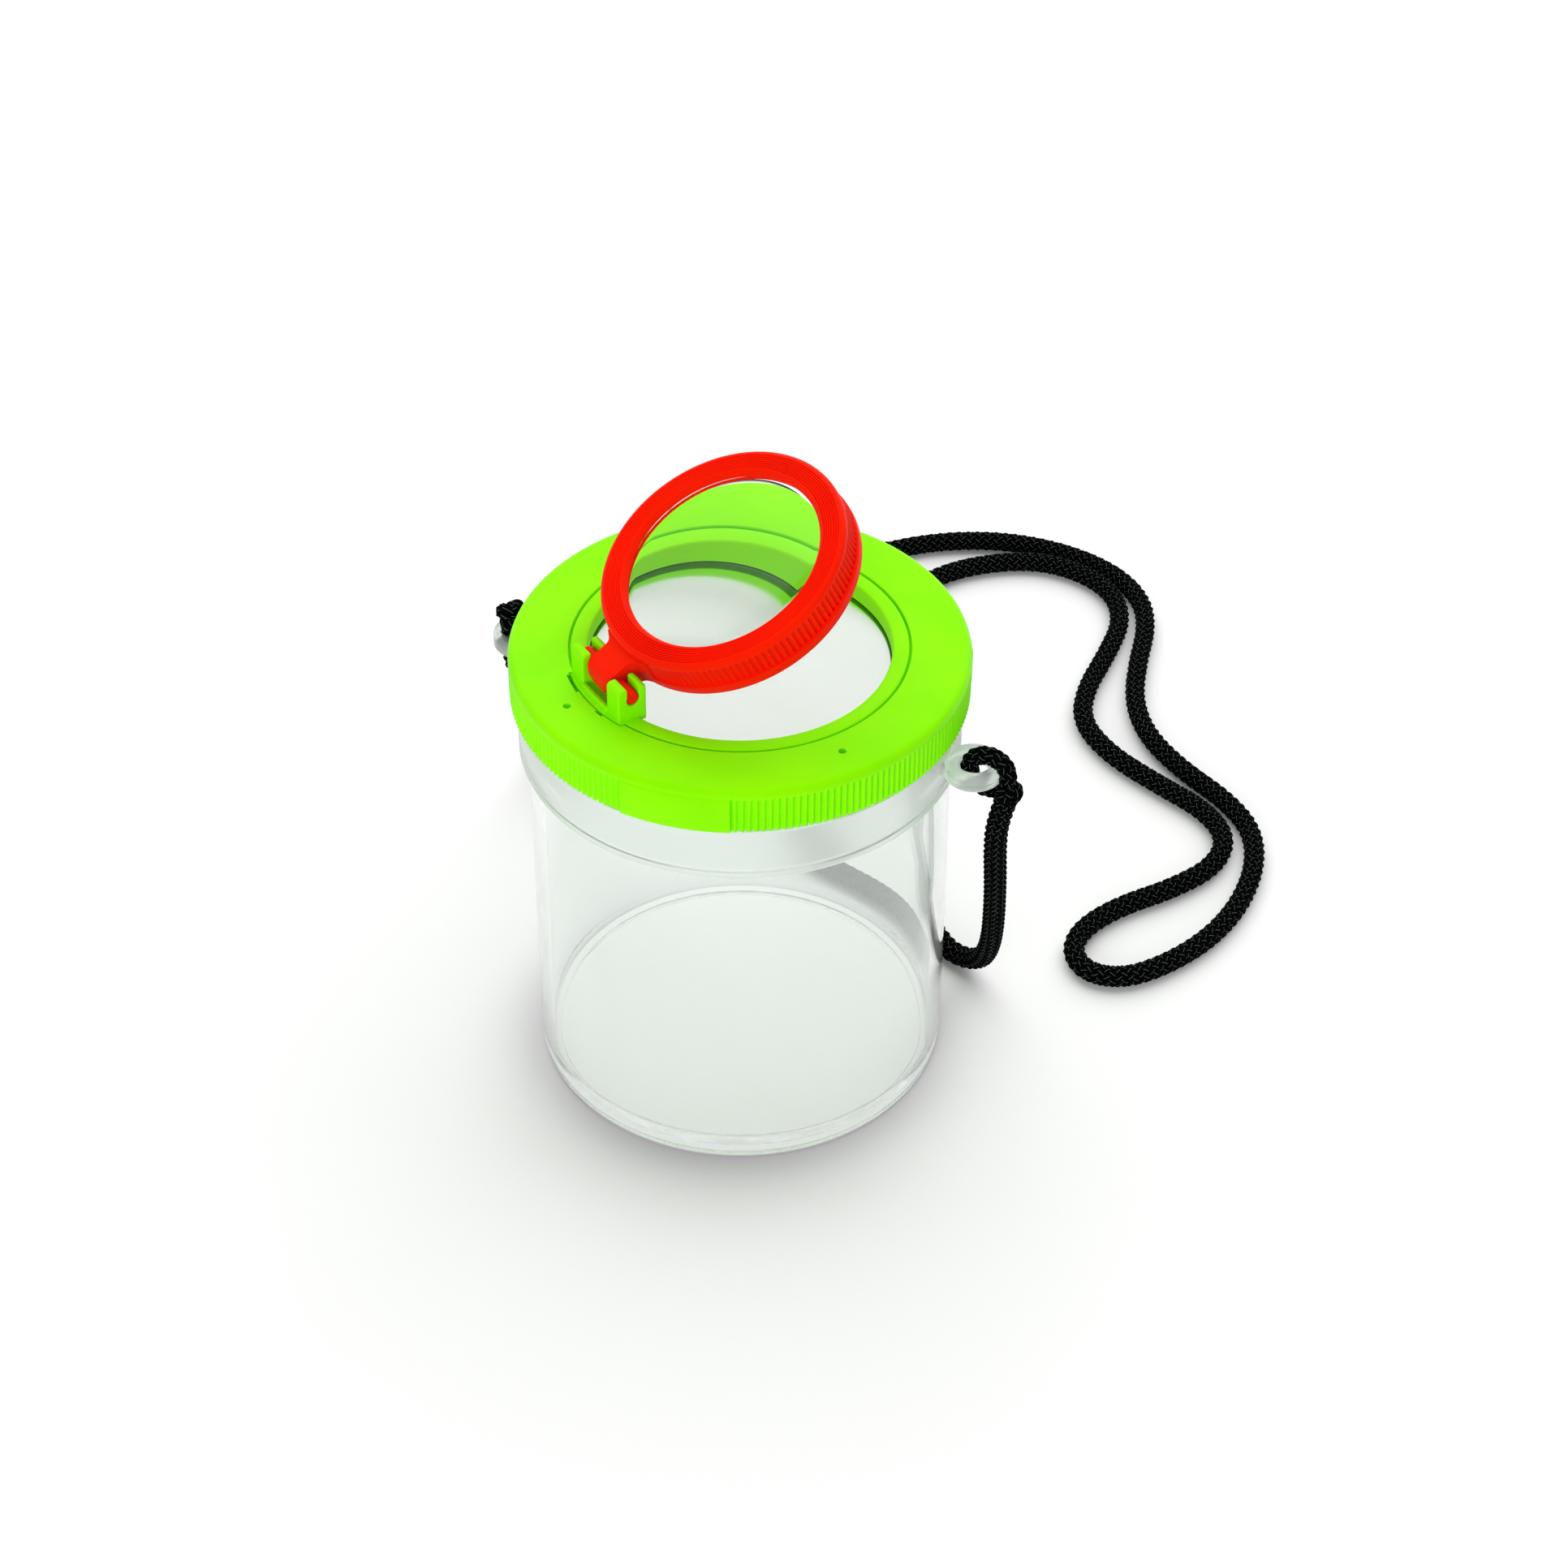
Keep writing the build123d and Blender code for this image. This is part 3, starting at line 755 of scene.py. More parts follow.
@dataclass
class Finishes:
    """Every finish of the jar, built once."""

    effects: SharedEffects = field(default_factory=SharedEffects)
    lime: bpy.types.Material = field(init=False)
    red: bpy.types.Material = field(init=False)
    clear: bpy.types.Material = field(init=False)
    lid_lens: bpy.types.Material = field(init=False)
    loupe: bpy.types.Material = field(init=False)

    def __post_init__(self) -> None:
        """Build the plastics. Each cord builds its own braid."""
        self.lime = SatinPlastic(
            "lime_satin", (0.285, 0.95, 0.001, 1), (0.245, 0.9, 0.001, 1), 0.4, 0.52, (0.6, 1, 0.02, 1)
        ).make(self.effects)
        self.red = SatinPlastic(
            "orange_red_satin", (0.98, 0.014, 0.001, 1), (0.94, 0.01, 0.001, 1), 0.4, 0.52, (1, 0.2, 0.01, 1)
        ).make(self.effects)
        self.clear = ClearPlastic(
            "clear_cup",
            (0.93, 0.958, 0.942, 1),
            1.32,
            0.975,
            clarity=0.88,
            milk_and_shade=MilkAndShadeBand(Band(0.0372, 0.0676, 0.0781), (0.83, 0.885, 0.85, 1), 0.3, 0.22),
            heel=Band(0.0362, -1, 0.012),
        ).make()
        self.lid_lens = ClearPlastic(
            "clear_lid_lens",
            (0.95, 0.968, 0.945, 1),
            1.4,
            0.97,
            roughness=0.2,
            mirror=0.6,
            # The outer band of the lid lens is tinted dark green: painted shade at the edge of the lens.
            milk_and_shade=MilkAndShadeBand(Band(0.02585, 0, 1), (0.01, 0.06, 0.005, 1)),
        ).make()
        self.loupe = ClearPlastic("clear_loupe", (0.985, 0.99, 0.98, 1), 1.49, 0.97, mirror=0.25).make()


def settle(
    piece: bpy.types.Object, body: Body, nodes: tuple[str, ...], finish: bpy.types.Material
) -> bpy.types.Object:
    """Dress a finished piece and set it on its body.

    Args:
        piece: The piece, already in place.
        body: Body that it rides on.
        nodes: Solids that it stands for.
        finish: Its material.

    Returns:
        The piece.
    """
    piece.data.materials.clear()
    piece.data.materials.append(finish)
    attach(piece, body.value)
    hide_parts(*nodes)
    LOG.info("%s: %d faces", piece.name, len(piece.data.polygons))
    return piece


@dataclass
class Cup:
    """Clear cup with its foot ring, collar, neck and two cord eyelets, in millimetres."""

    radius: float = 37.0
    height: float = 85.4
    wall: float = 1.7
    floor_top: float = 3.2
    foot_depth: float = 1.2
    foot_width: float = 3.2
    collar_radius: float = 38.6
    collar_bottom: float = 67.4
    collar_top: float = 77.9
    lip: float = 1.5
    lip_groove: float = 0.25
    collar_inset: float = 0.05
    neck_radius: float = 36.6
    eyelets: tuple[Point, Point] = ((-24.0, 43.4), (153.5, 43.2))
    eyelet_height: float = 74.3
    eyelet_hole: float = 2.5
    eyelet_outer: float = 5.1
    eyelet_half: float = 1.6
    eyelet_steps: int = 96
    seam_half: float = 0.12
    seam_depth: float = 0.2
    web_width: float = 6.4
    web_half: float = 1.1
    steps: int = 480

    def build(self, finishes: Finishes) -> bpy.types.Object:
        """Turn the cup and join its eyelets.

        Args:
            finishes: Finishes of the jar.

        Returns:
            The cup.
        """
        foot = self.radius - self.foot_width
        bore = self.radius - self.wall
        outline = rounded(
            [
                (0, self.foot_depth, 0),
                (foot, self.foot_depth, 0.25),
                (foot, 0, 0.3),
                (self.radius, 0, 1.5),
                (self.radius, self.collar_bottom, 0.5),
                (self.collar_radius, self.collar_bottom, 0.7),
                (self.collar_radius, self.collar_bottom + self.lip, 0.1),
                (self.collar_radius - self.lip_groove, self.collar_bottom + self.lip + 0.2, 0.1),
                (self.collar_radius - self.collar_inset, self.collar_bottom + self.lip + 0.9, 0.3),
                (self.collar_radius - self.collar_inset, self.collar_top, 0.5),
                (self.neck_radius, self.collar_top, 0.25),
                (self.neck_radius, self.height, 0.4),
                (bore, self.height, 0.4),
                (bore, self.floor_top, 2.0),
                (0, self.floor_top, 0),
            ],
            closed=False,
            bend=7,
        )
        cup = lathe("clear_cup", outline, self.steps)
        eyelets = [self.eyelet(turn, reach) for turn, reach in self.eyelets]
        combine(cup, gather(eyelets), Cut.JOIN)
        return settle(cup, Body.CUP, ("cup",), finishes.clear)

    def eyelet(self, turn: float, reach: float) -> bpy.types.Object:
        """Make one eyelet ring with its web.

        Args:
            turn: Angle of the eyelet round the cup, in degrees.
            reach: Distance of its middle from the cup's axis.

        Returns:
            The eyelet in its place.
        """
        outline = rounded(
            [
                (self.eyelet_hole, -self.eyelet_half, 1.2),
                (self.eyelet_outer, -self.eyelet_half, 0.8),
                (self.eyelet_outer, -self.seam_half, 0.15),
                (self.eyelet_outer - self.seam_depth, 0, 0.1),
                (self.eyelet_outer, self.seam_half, 0.15),
                (self.eyelet_outer, self.eyelet_half, 0.8),
                (self.eyelet_hole, self.eyelet_half, 1.2),
            ],
            closed=True,
        )
        ring = lathe("eyelet", outline, self.eyelet_steps)
        start = self.radius - reach + 0.4
        end = -(self.eyelet_hole + self.eyelet_outer) / 2
        half = self.web_half
        web = prism("web", [(start, -half), (end, -half), (end, half), (start, half)], self.web_width, 0.5)
        combine(ring, web, Cut.JOIN)
        place = Matrix.Translation((reach * MM, 0, self.eyelet_height * MM))
        return move(ring, turn_z(turn) @ place)


@dataclass(frozen=True)
class Hinge:
    """Place of the snap hinge, in degrees and millimetres."""

    angle: float = 212.0
    radius: float = 25.8
    height: float = 91.4


@dataclass
class Lid:
    """Ribbed lid, the lens ring in it with the hinge ears, and the lens, in millimetres."""

    top: float = 87.5
    bottom: float = 78.8
    plate_bottom: float = 85.4
    bore: float = 36.95
    crest: float = 39.8
    rib_depth: float = 0.6
    rib_top: float = 85.8
    rib_fade: float = 0.4
    rib_power: float = 2.5
    rib_count: int = 54
    rib_steps: int = 8
    pad_rise: float = 0.2
    pad_count: int = 3
    pad_span: float = 28.0
    pad_angle: float = -106.2
    pad_steps: int = 14
    pad_start: float = 0.012
    pad_share: float = 0.976
    seat_radius: float = 28.25
    flange_seat: float = 29.4
    flange_bottom: float = 86.3
    hole_radius: float = 0.7
    hole_place: float = 33.7
    hole_angles: tuple[float, float] = (210.5, 300.0)
    hinge: Hinge = Hinge()
    seat_pin: float = 1.25
    mouth: float = 2.2
    ear_inner: float = 3.9
    ear_width: float = 4.0
    ear_outward: float = 2.95
    ear_inward: float = 2.45
    ear_top: float = 93.8
    block_radius: float = 29.9
    block_width: float = 16.6
    bar_reach: float = 28.64
    bar_half: float = 0.5
    bar_height: float = 0.9
    slot_width: float = 0.7
    slots: tuple[Point, Point] = ((-10.9, 5.0), (6.9, 1.8))
    gap: float = 0.3
    ring_bore: float = 26.1
    ring_radius: float = 28.1
    ring_bottom: float = 80.0
    flange: float = 29.0
    pocket: float = 27.0
    lens_top: float = 84.4
    lens_edge: float = 1.8
    lens_radius: float = 26.9
    lens_ledge: float = 0.9
    lens_rise: float = 0.9

    def build(self, finishes: Finishes) -> list[bpy.types.Object]:
        """Make the lid, its ring and its lens.

        Args:
            finishes: Finishes of the jar.

        Returns:
            The three pieces.
        """
        return [
            settle(self.cover(), Body.LID, ("lid",), finishes.lime),
            settle(self.ring(), Body.LID, ("lens_ring",), finishes.lime),
            settle(self.lens(), Body.LID, ("lid_lens",), finishes.lid_lens),
        ]

    def cover(self) -> bpy.types.Object:
        """Make the lid with its ribs, pads, air holes and hinge pocket."""
        outline = rounded(
            [
                (self.seat_radius, self.plate_bottom, 0),
                (self.bore, self.plate_bottom, 0.5),
                (self.bore, self.bottom, 0.3),
                (self.crest, self.bottom, 0.25),
                (self.crest, self.rib_top - 0.45, 0),
                (self.crest, self.rib_top - 0.2, 0),
                (self.crest, self.rib_top, 0),
                (self.crest, self.top, 1.4),
                (self.flange_seat, self.top, 0.2),
                (self.flange_seat, self.flange_bottom, 0),
                (self.seat_radius, self.flange_bottom, 0),
            ],
            closed=True,
            bend=6,
        )
        sector = self.pad_steps + self.rib_count * self.rib_steps
        steps = self.pad_count * sector
        cover = lathe("lime_lid", outline, steps)
        reseat(cover, steps, self.rib_seat)
        tools = [self.hinge_pocket()]
        for angle in self.hole_angles:
            low, high = self.bottom + 1.2, self.top + 2.5
            bit = [(0, low), (self.hole_radius, low), (self.hole_radius, high), (0, high)]
            drill = lathe("drill", bit, 32)
            place = Matrix.Translation((self.hole_place * MM, 0, 0))
            tools.append(move(drill, turn_z(angle) @ place))
        combine(cover, gather(tools), Cut.REMOVE)
        return cover

    def block_outline(self, radius: float, width: float) -> list[Point]:
        """Outline in plan of the hinge block, with its outer side on a circle.

        Args:
            radius: Radius of the outer side.
            width: Width of the block.

        Returns:
            Points of the outline.
        """
        half = math.asin(width / 2 / radius)
        points: list[Point] = [(self.hinge.radius, -width / 2)]
        for step in range(13):
            angle = half * (step / 6 - 1)
            points.append((radius * math.cos(angle), radius * math.sin(angle)))
        points.append((self.hinge.radius, width / 2))
        return points

    def hinge_pocket(self) -> bpy.types.Object:
        """Make the tool that cuts the seat of the hinge block and the two slots beside it."""
        outline = self.block_outline(self.block_radius + self.gap, self.block_width + 2 * self.gap)
        pocket = plate("pocket", outline, self.flange_bottom, self.top + 2, 0)
        start, end = self.block_radius - 0.3, self.block_radius + self.slot_width
        for angle, length in self.slots:
            half = length / 2
            corners = [(start, -half), (end, -half), (end, half), (start, half)]
            slot = plate("slot", corners, self.flange_bottom - 0.8, self.top + 1.5, 0)
            combine(pocket, move(slot, turn_z(angle)), Cut.JOIN)
        return move(pocket, turn_z(self.hinge.angle))

    def rib_seat(self, step: int, radius: float, height: float) -> Point:
        """Angle and radius of a point of the lid, with ribs and pads on its skirt.

        Args:
            step: Number of the step round the lid.
            radius: Radius in metres before the ribs.
            height: Height in metres.

        Returns:
            Angle in radians and radius in metres.
        """
        sector_steps = self.pad_steps + self.rib_count * self.rib_steps
        sector, step = divmod(step, sector_steps)
        sector_span = 360 / self.pad_count
        start = self.pad_angle - self.pad_span / 2 + sector * sector_span
        outside = radius > (self.crest - 0.4) * MM
        fade = min(1.0, max(0.0, (self.rib_top * MM - height) / (self.rib_fade * MM)))
        if step < self.pad_steps:
            share = self.pad_start + self.pad_share * step / (self.pad_steps - 1)
            angle = start + share * self.pad_span
            rise = self.pad_rise * fade
        else:
            rib = (step - self.pad_steps) / self.rib_steps
            angle = start + self.pad_span + rib / self.rib_count * (sector_span - self.pad_span)
            rise = -self.rib_depth * fade * abs(math.cos(math.pi * rib)) ** self.rib_power
        return math.radians(angle), radius + (rise * MM if outside else 0)

    def ring(self) -> bpy.types.Object:
        """Make the lens ring with its hinge block and ears."""
        bead = self.lens_top - self.lens_edge - 0.1
        outline = rounded(
            [
                (self.ring_bore, self.top, 0.45),
                (self.ring_bore, self.lens_top, 0.1),
                (self.pocket, self.lens_top, 0),
                (self.pocket, bead, 0),
                (self.pocket - 0.4, bead - 0.4, 0.1),
                (self.pocket, bead - 0.8, 0),
                (self.pocket, self.ring_bottom, 0.2),
                (self.ring_radius, self.ring_bottom, 0.3),
                (self.ring_radius, self.flange_bottom, 0),
                (self.flange, self.flange_bottom, 0),
                (self.flange, self.top, 0.3),
            ],
            closed=True,
        )
        ring = lathe("lime_lens_ring", outline, 256)
        combine(ring, self.hinge_block(), Cut.JOIN)
        return ring

    def hinge_block(self) -> bpy.types.Object:
        """Make the hinge block with its rounded bar and its two ears."""
        outline = self.block_outline(self.block_radius, self.block_width)
        block = plate("block", outline, self.flange_bottom, self.top - 0.01, 0.2)
        left, right = self.bar_reach - self.bar_half, self.bar_reach + self.bar_half
        low, high = self.top - 0.5, self.top + self.bar_height
        bar = [(left, low), (right, low), (right, high), (left, high)]
        combine(block, prism("bar", bar, 2 * self.ear_inner + 0.4, 0.35), Cut.JOIN)
        ears = []
        for side in (-1, 1):
            place = Matrix.Translation((0, side * (self.ear_inner + self.ear_width / 2) * MM, 0))
            ears.append(move(prism("ear", self.ear_outline(), self.ear_width, 0.3), place))
        combine(block, gather(ears), Cut.JOIN)
        return move(block, turn_z(self.hinge.angle))

    def ear_outline(self) -> list[Point]:
        """Outline of a hinge ear with its open snap seat."""
        centre = self.hinge.radius
        outer, inner = centre + self.ear_outward, centre - self.ear_inward
        bottom = self.flange_bottom + 0.1
        mouth = self.mouth / 2
        shoulder = math.asin(math.sqrt(self.seat_pin**2 - mouth**2) / self.seat_pin)
        seat: list[Point] = []
        for step in range(13):
            angle = shoulder - (math.pi + 2 * shoulder) * step / 12
            across, up = self.seat_pin * math.cos(angle), self.seat_pin * math.sin(angle)
            seat.append((centre + across, self.hinge.height + up))
        top = self.ear_top
        left = [(outer, bottom, 0), (outer, top, 0.9), (centre + mouth, top, 0.4), (*seat[0], 0)]
        right = [(*seat[-1], 0), (centre - mouth, top, 0.4), (inner, top, 0.7), (inner, bottom, 0)]
        return rounded(left, closed=False) + seat[1:-1] + rounded(right, closed=False)

    def lens(self) -> bpy.types.Object:
        """Make the large lens under the lid's opening."""
        outline = dome(self.lens_radius, self.lens_ledge, self.lens_top, self.lens_edge, self.lens_rise)
        return lathe("lid_lens_clear", outline, 160)


@dataclass
class Magnifier:
    """Fluted frame with its hinge tab and pins, and its lens, in millimetres."""

    radius: float = 22.65
    centre: float = -1.0
    bottom: float = 88.0
    top: float = 95.6
    rim: float = 2.0
    band: float = 4.4
    crest: float = 22.35
    flute_depth: float = 0.62
    flute_count: int = 118
    flute_steps: int = 8
    bore: float = 17.55
    bevel_width: float = 0.7
    bevel_depth: float = 0.9
    pocket: float = 18.35
    seat_radius: float = 19.55
    hollow: float = 21.2
    plate_bottom: float = 93.6
    lens_top: float = 94.3
    lens_edge: float = 2.0
    lens_rise: float = 0.92
    lens_fit: float = 0.1
    lens_ledge: float = 0.8
    groove_start: float = 21.3
    groove_pitch: float = 0.42
    groove_count: int = 7
    groove_depth: float = 0.3
    groove_half: float = 0.14
    hinge: Hinge = Hinge()
    pin_radius: float = 1.2
    pin_span: float = 15.4
    tab_half_width: float = 3.45
    tab_half: float = 2.7
    tab_flare: float = 2.2
    tilt: float = 27.0

    def swing(self) -> Matrix:
        """Matrix that swings the closed magnifier open about its hinge."""
        angle = math.radians(self.hinge.angle)
        outward = Vector((math.cos(angle), math.sin(angle), 0))
        axis = Vector((-math.sin(angle), math.cos(angle), 0))
        pin = Matrix.Translation(outward * self.hinge.radius * MM + Vector((0, 0, self.hinge.height * MM)))
        return pin @ Matrix.Rotation(math.radians(self.tilt), 4, axis) @ pin.inverted()

    def seat(self) -> Matrix:
        """Matrix that moves a piece from the jar's axis to the closed magnifier's."""
        turn = turn_z(self.hinge.angle)
        return turn @ Matrix.Translation((self.centre * MM, 0, 0))

    def build(self, finishes: Finishes) -> list[bpy.types.Object]:
        """Make the frame and its lens, swung open.

        Args:
            finishes: Finishes of the jar.

        Returns:
            The two pieces.
        """
        frame = move(self.frame(), self.swing())
        lens = lathe(
            "magnifier_lens_clear",
            dome(self.pocket - self.lens_fit, self.lens_ledge, self.lens_top, self.lens_edge, self.lens_rise),
            128,
        )
        move(lens, self.swing() @ self.seat())
        return [
            settle(frame, Body.MAGNIFIER, ("magnifier_frame",), finishes.red),
            settle(lens, Body.MAGNIFIER, ("magnifier_lens",), finishes.loupe),
        ]

    def frame(self) -> bpy.types.Object:
        """Make the closed frame with its grooves, flutes, tab and pins."""
        low, high = self.bottom + self.rim, self.bottom + self.rim + self.band
        bead = self.lens_top - self.lens_edge - 0.1
        grooves: list[Corner] = []
        for index in range(self.groove_count):
            out = self.groove_start - index * self.groove_pitch
            grooves.append((out, self.top, 0))
            grooves.append((out - self.groove_half, self.top - self.groove_depth, 0))
            grooves.append((out - 2 * self.groove_half, self.top, 0))
        outline = rounded(
            [
                (self.hollow, self.bottom, 0.3),
                (self.radius, self.bottom, 0.5),
                (self.radius, low, 0.3),
                (self.crest, low, 0),
                (self.crest, high - 0.35, 0),
                (self.crest, high, 0),
                (self.crest, self.top, 1.0),
                *grooves,
                (self.bore + self.bevel_width, self.top, 0.3),
                (self.bore, self.top - self.bevel_depth, 0.2),
                (self.bore, self.lens_top, 0),
                (self.pocket, self.lens_top, 0),
                (self.pocket, bead, 0),
                (self.pocket - 0.4, bead - 0.4, 0.1),
                (self.pocket, bead - 0.8, 0),
                (self.seat_radius, bead - 0.8, 0.2),
                (self.seat_radius, self.plate_bottom, 0.3),
                (self.hollow, self.plate_bottom, 0.3),
            ],
            closed=True,
        )
        steps = self.flute_count * self.flute_steps
        frame = lathe("red_magnifier_frame", outline, steps)
        reseat(frame, steps, self.flute_seat)
        tab = self.tab()
        combine(tab, self.pin(), Cut.JOIN)
        move(frame, self.seat())
        combine(frame, move(tab, turn_z(self.hinge.angle)), Cut.JOIN)
        return frame

    def flute_seat(self, step: int, radius: float, height: float) -> Point:
        """Angle and radius of a point of the frame, with flutes on its band.

        Args:
            step: Number of the step round the frame.
            radius: Radius in metres before the flutes.
            height: Height in metres.

        Returns:
            Angle in radians and radius in metres.
        """
        angle = FULL_TURN * step / (self.flute_count * self.flute_steps)
        low, high = self.bottom + self.rim - 0.01, self.bottom + self.rim + self.band - 0.3
        on_band = low * MM < height < high * MM and abs(radius - self.crest * MM) < 0.05 * MM
        if on_band:
            radius -= self.flute_depth * MM * abs(math.cos(math.pi * step / self.flute_steps)) ** 2
        return angle, radius

    def tab(self) -> bpy.types.Object:
        """Make the hinge tab, flared at its root and rounded at its end."""
        middle, half, wide = self.hinge.radius, self.tab_half, self.tab_half_width
        wall = self.centre + self.crest
        side: list[Point] = [(wall - 1, self.hinge.height - half)]
        for step in range(17):
            angle = -math.pi / 2 + math.pi * step / 16
            side.append((middle + half * math.cos(angle), self.hinge.height + half * math.sin(angle)))
        side.append((wall - 1, self.hinge.height + half))
        tab = prism("tab", side, 4 * wide, 0)
        flare = wide + self.tab_flare
        plan = rounded(
            [
                (wall - 1, -flare, 0),
                (wall - 0.4, -flare, 0),
                (wall + 0.7, -wide, 1.4),
                (middle + half, -wide, 2.3),
                (middle + half, wide, 2.3),
                (wall + 0.7, wide, 1.4),
                (wall - 0.4, flare, 0),
                (wall - 1, flare, 0),
            ],
            closed=True,
        )
        low, high = self.hinge.height - 6, self.hinge.height + 6
        combine(tab, plate("plan", plan[:-1], low, high, 0), Cut.KEEP_COMMON)
        soften(tab, 0.5, 35)
        return tab

    def pin(self) -> bpy.types.Object:
        """Make the two stub pins as one bar with rounded ends."""
        half = self.pin_span / 2
        outline = rounded(
            [(0, -half, 0), (self.pin_radius, -half, 0.4), (self.pin_radius, half, 0.4), (0, half, 0)],
            closed=False,
        )
        pin = lathe("pin", outline, 48)
        place = Matrix.Translation((self.hinge.radius * MM, 0, self.hinge.height * MM))
        return move(pin, place @ Matrix.Rotation(math.pi / 2, 4, "X"))


@dataclass
class Braid:
    """A braided round cord that follows a spline, in metres."""

    name: str
    route: list[Place]
    diameter: float
    cyclic: bool = False
    strands: int = 8
    pitch: float = 0.002
    relief: float = 0.26
    middle: float = 0.75
    strand_round: float = 0.8
    strand_ends: float = 0.3
    sides: int = 36
    detail: int = 30
    line: list[Vector] = field(init=False)
    length: float = field(init=False)

    def __post_init__(self) -> None:
        """Read the centre line from the route's spline."""
        curve = bpy.data.curves.new(self.name + "_route", "CURVE")
        curve.dimensions = "3D"
        spline = curve.splines.new("NURBS")
        spline.points.add(len(self.route) - 1)
        for point, place in zip(spline.points, self.route):
            point.co = (*place, 1)
        spline.order_u = 3
        spline.use_cyclic_u = self.cyclic
        spline.use_endpoint_u = not self.cyclic
        spline.resolution_u = self.detail
        carrier = bpy.data.objects.new(self.name + "_route", curve)
        bpy.context.scene.collection.objects.link(carrier)
        line_mesh = bpy.data.meshes.new_from_object(carrier)
        self.line = [point.co.copy() for point in line_mesh.vertices]
        bpy.data.objects.remove(carrier)
        bpy.data.meshes.remove(line_mesh)
        bpy.data.curves.remove(curve)
        ends = self.line[1:] + self.line[:1] if self.cyclic else self.line[1:]
        self.length = sum((after - before).length for before, after in zip(self.line, ends))

    def height(self, around: float, along: float) -> float:
        """Height of the plait, from 0 to 1.

        Args:
            around: Share of the way round the cord.
            along: Distance along it, in crossings.

        Returns:
            The height of the strand on top there.
        """
        right, left = self.strands * around + along, self.strands * around - along
        across, lengthwise = right % 1, left % 1
        if (math.floor(right) + math.floor(left)) % 2:
            across, lengthwise = lengthwise, across
        rise = self.strand_ends + (1 - self.strand_ends) * math.sin(math.pi * lengthwise)
        return math.sin(math.pi * across) ** self.strand_round * rise

    def build(self, effects: SharedEffects) -> bpy.types.Object:
        """Make the braided tube with its UV map and material.

        Args:
            effects: Shared node groups.

        Returns:
            The cord, with its ends closed.
        """
        count = len(self.line)
        crossings = max(1, round(self.length / self.pitch))
        travelled = [0.0]
        for before, after in zip(self.line, self.line[1:]):
            travelled.append(travelled[-1] + (after - before).length)
        points: list[Vector] = []
        shares = [distance / self.length for distance in travelled]
        for index, (normal, side) in enumerate(self.frames()):
            for corner in range(self.sides):
                around = corner / self.sides
                swell = self.height(around, shares[index] * crossings)
                radius = self.diameter / 2 * (1 + self.relief * (swell - self.middle))
                turn = FULL_TURN * around
                points.append(self.line[index] + (normal * math.cos(turn) + side * math.sin(turn)) * radius)
        faces, spots = self.skin(count, shares)
        mesh = bpy.data.meshes.new(self.name)
        mesh.from_pydata(points, [], faces)
        layer = mesh.uv_layers.new(name="braid")
        for loop, spot in zip(layer.data, spots):
            loop.uv = spot
        cord = bpy.data.objects.new(self.name, mesh)
        bpy.context.scene.collection.objects.link(cord)
        activate(cord)
        bpy.ops.object.mode_set(mode="EDIT")
        close_up(60)
        finish = BraidedCord(self.name + "_braid", self.strands, crossings).make(effects)
        mesh.materials.append(finish)
        return cord

    def skin(self, count: int, shares: list[float]) -> tuple[list[list[int]], list[Point]]:
        """List the faces of the tube and the UV place of each of their corners.

        Args:
            count: Number of rings.
            shares: Share of the length at each ring.

        Returns:
            The faces and the UV places.
        """
        faces: list[list[int]] = []
        spots: list[Point] = []
        for ring in range(count if self.cyclic else count - 1):
            after = (ring + 1) % count
            end = shares[after] if after else 1.0
            for corner in range(self.sides):
                beside = (corner + 1) % self.sides
                faces.append([
                    ring * self.sides + corner,
                    ring * self.sides + beside,
                    after * self.sides + beside,
                    after * self.sides + corner,
                ])
                left, right = corner / self.sides, (corner + 1) / self.sides
                spots += [(left, shares[ring]), (right, shares[ring]), (right, end), (left, end)]
        if not self.cyclic:
            for ring, share in ((0, 0.0), (count - 1, 1.0)):
                faces.append([ring * self.sides + corner for corner in range(self.sides)])
                spots += [(corner / self.sides, share) for corner in range(self.sides)]
        return faces, spots

    def frames(self) -> list[tuple[Vector, Vector]]:
        """Two directions square to the line at each of its points, without twist."""
        count = len(self.line)
        result: list[tuple[Vector, Vector]] = []
        normal = Vector((0, 0, 1))
        for index in range(count):
            if self.cyclic:
                ahead, behind = self.line[(index + 1) % count], self.line[index - 1]
            else:
                ahead, behind = self.line[min(index + 1, count - 1)], self.line[max(index - 1, 0)]
            tangent = (ahead - behind).normalized()
            normal = normal - tangent * normal.dot(tangent)
            if normal.length < 0.1:
                normal = tangent.orthogonal()
            normal.normalize()
            result.append((normal.copy(), tangent.cross(normal)))
        return result


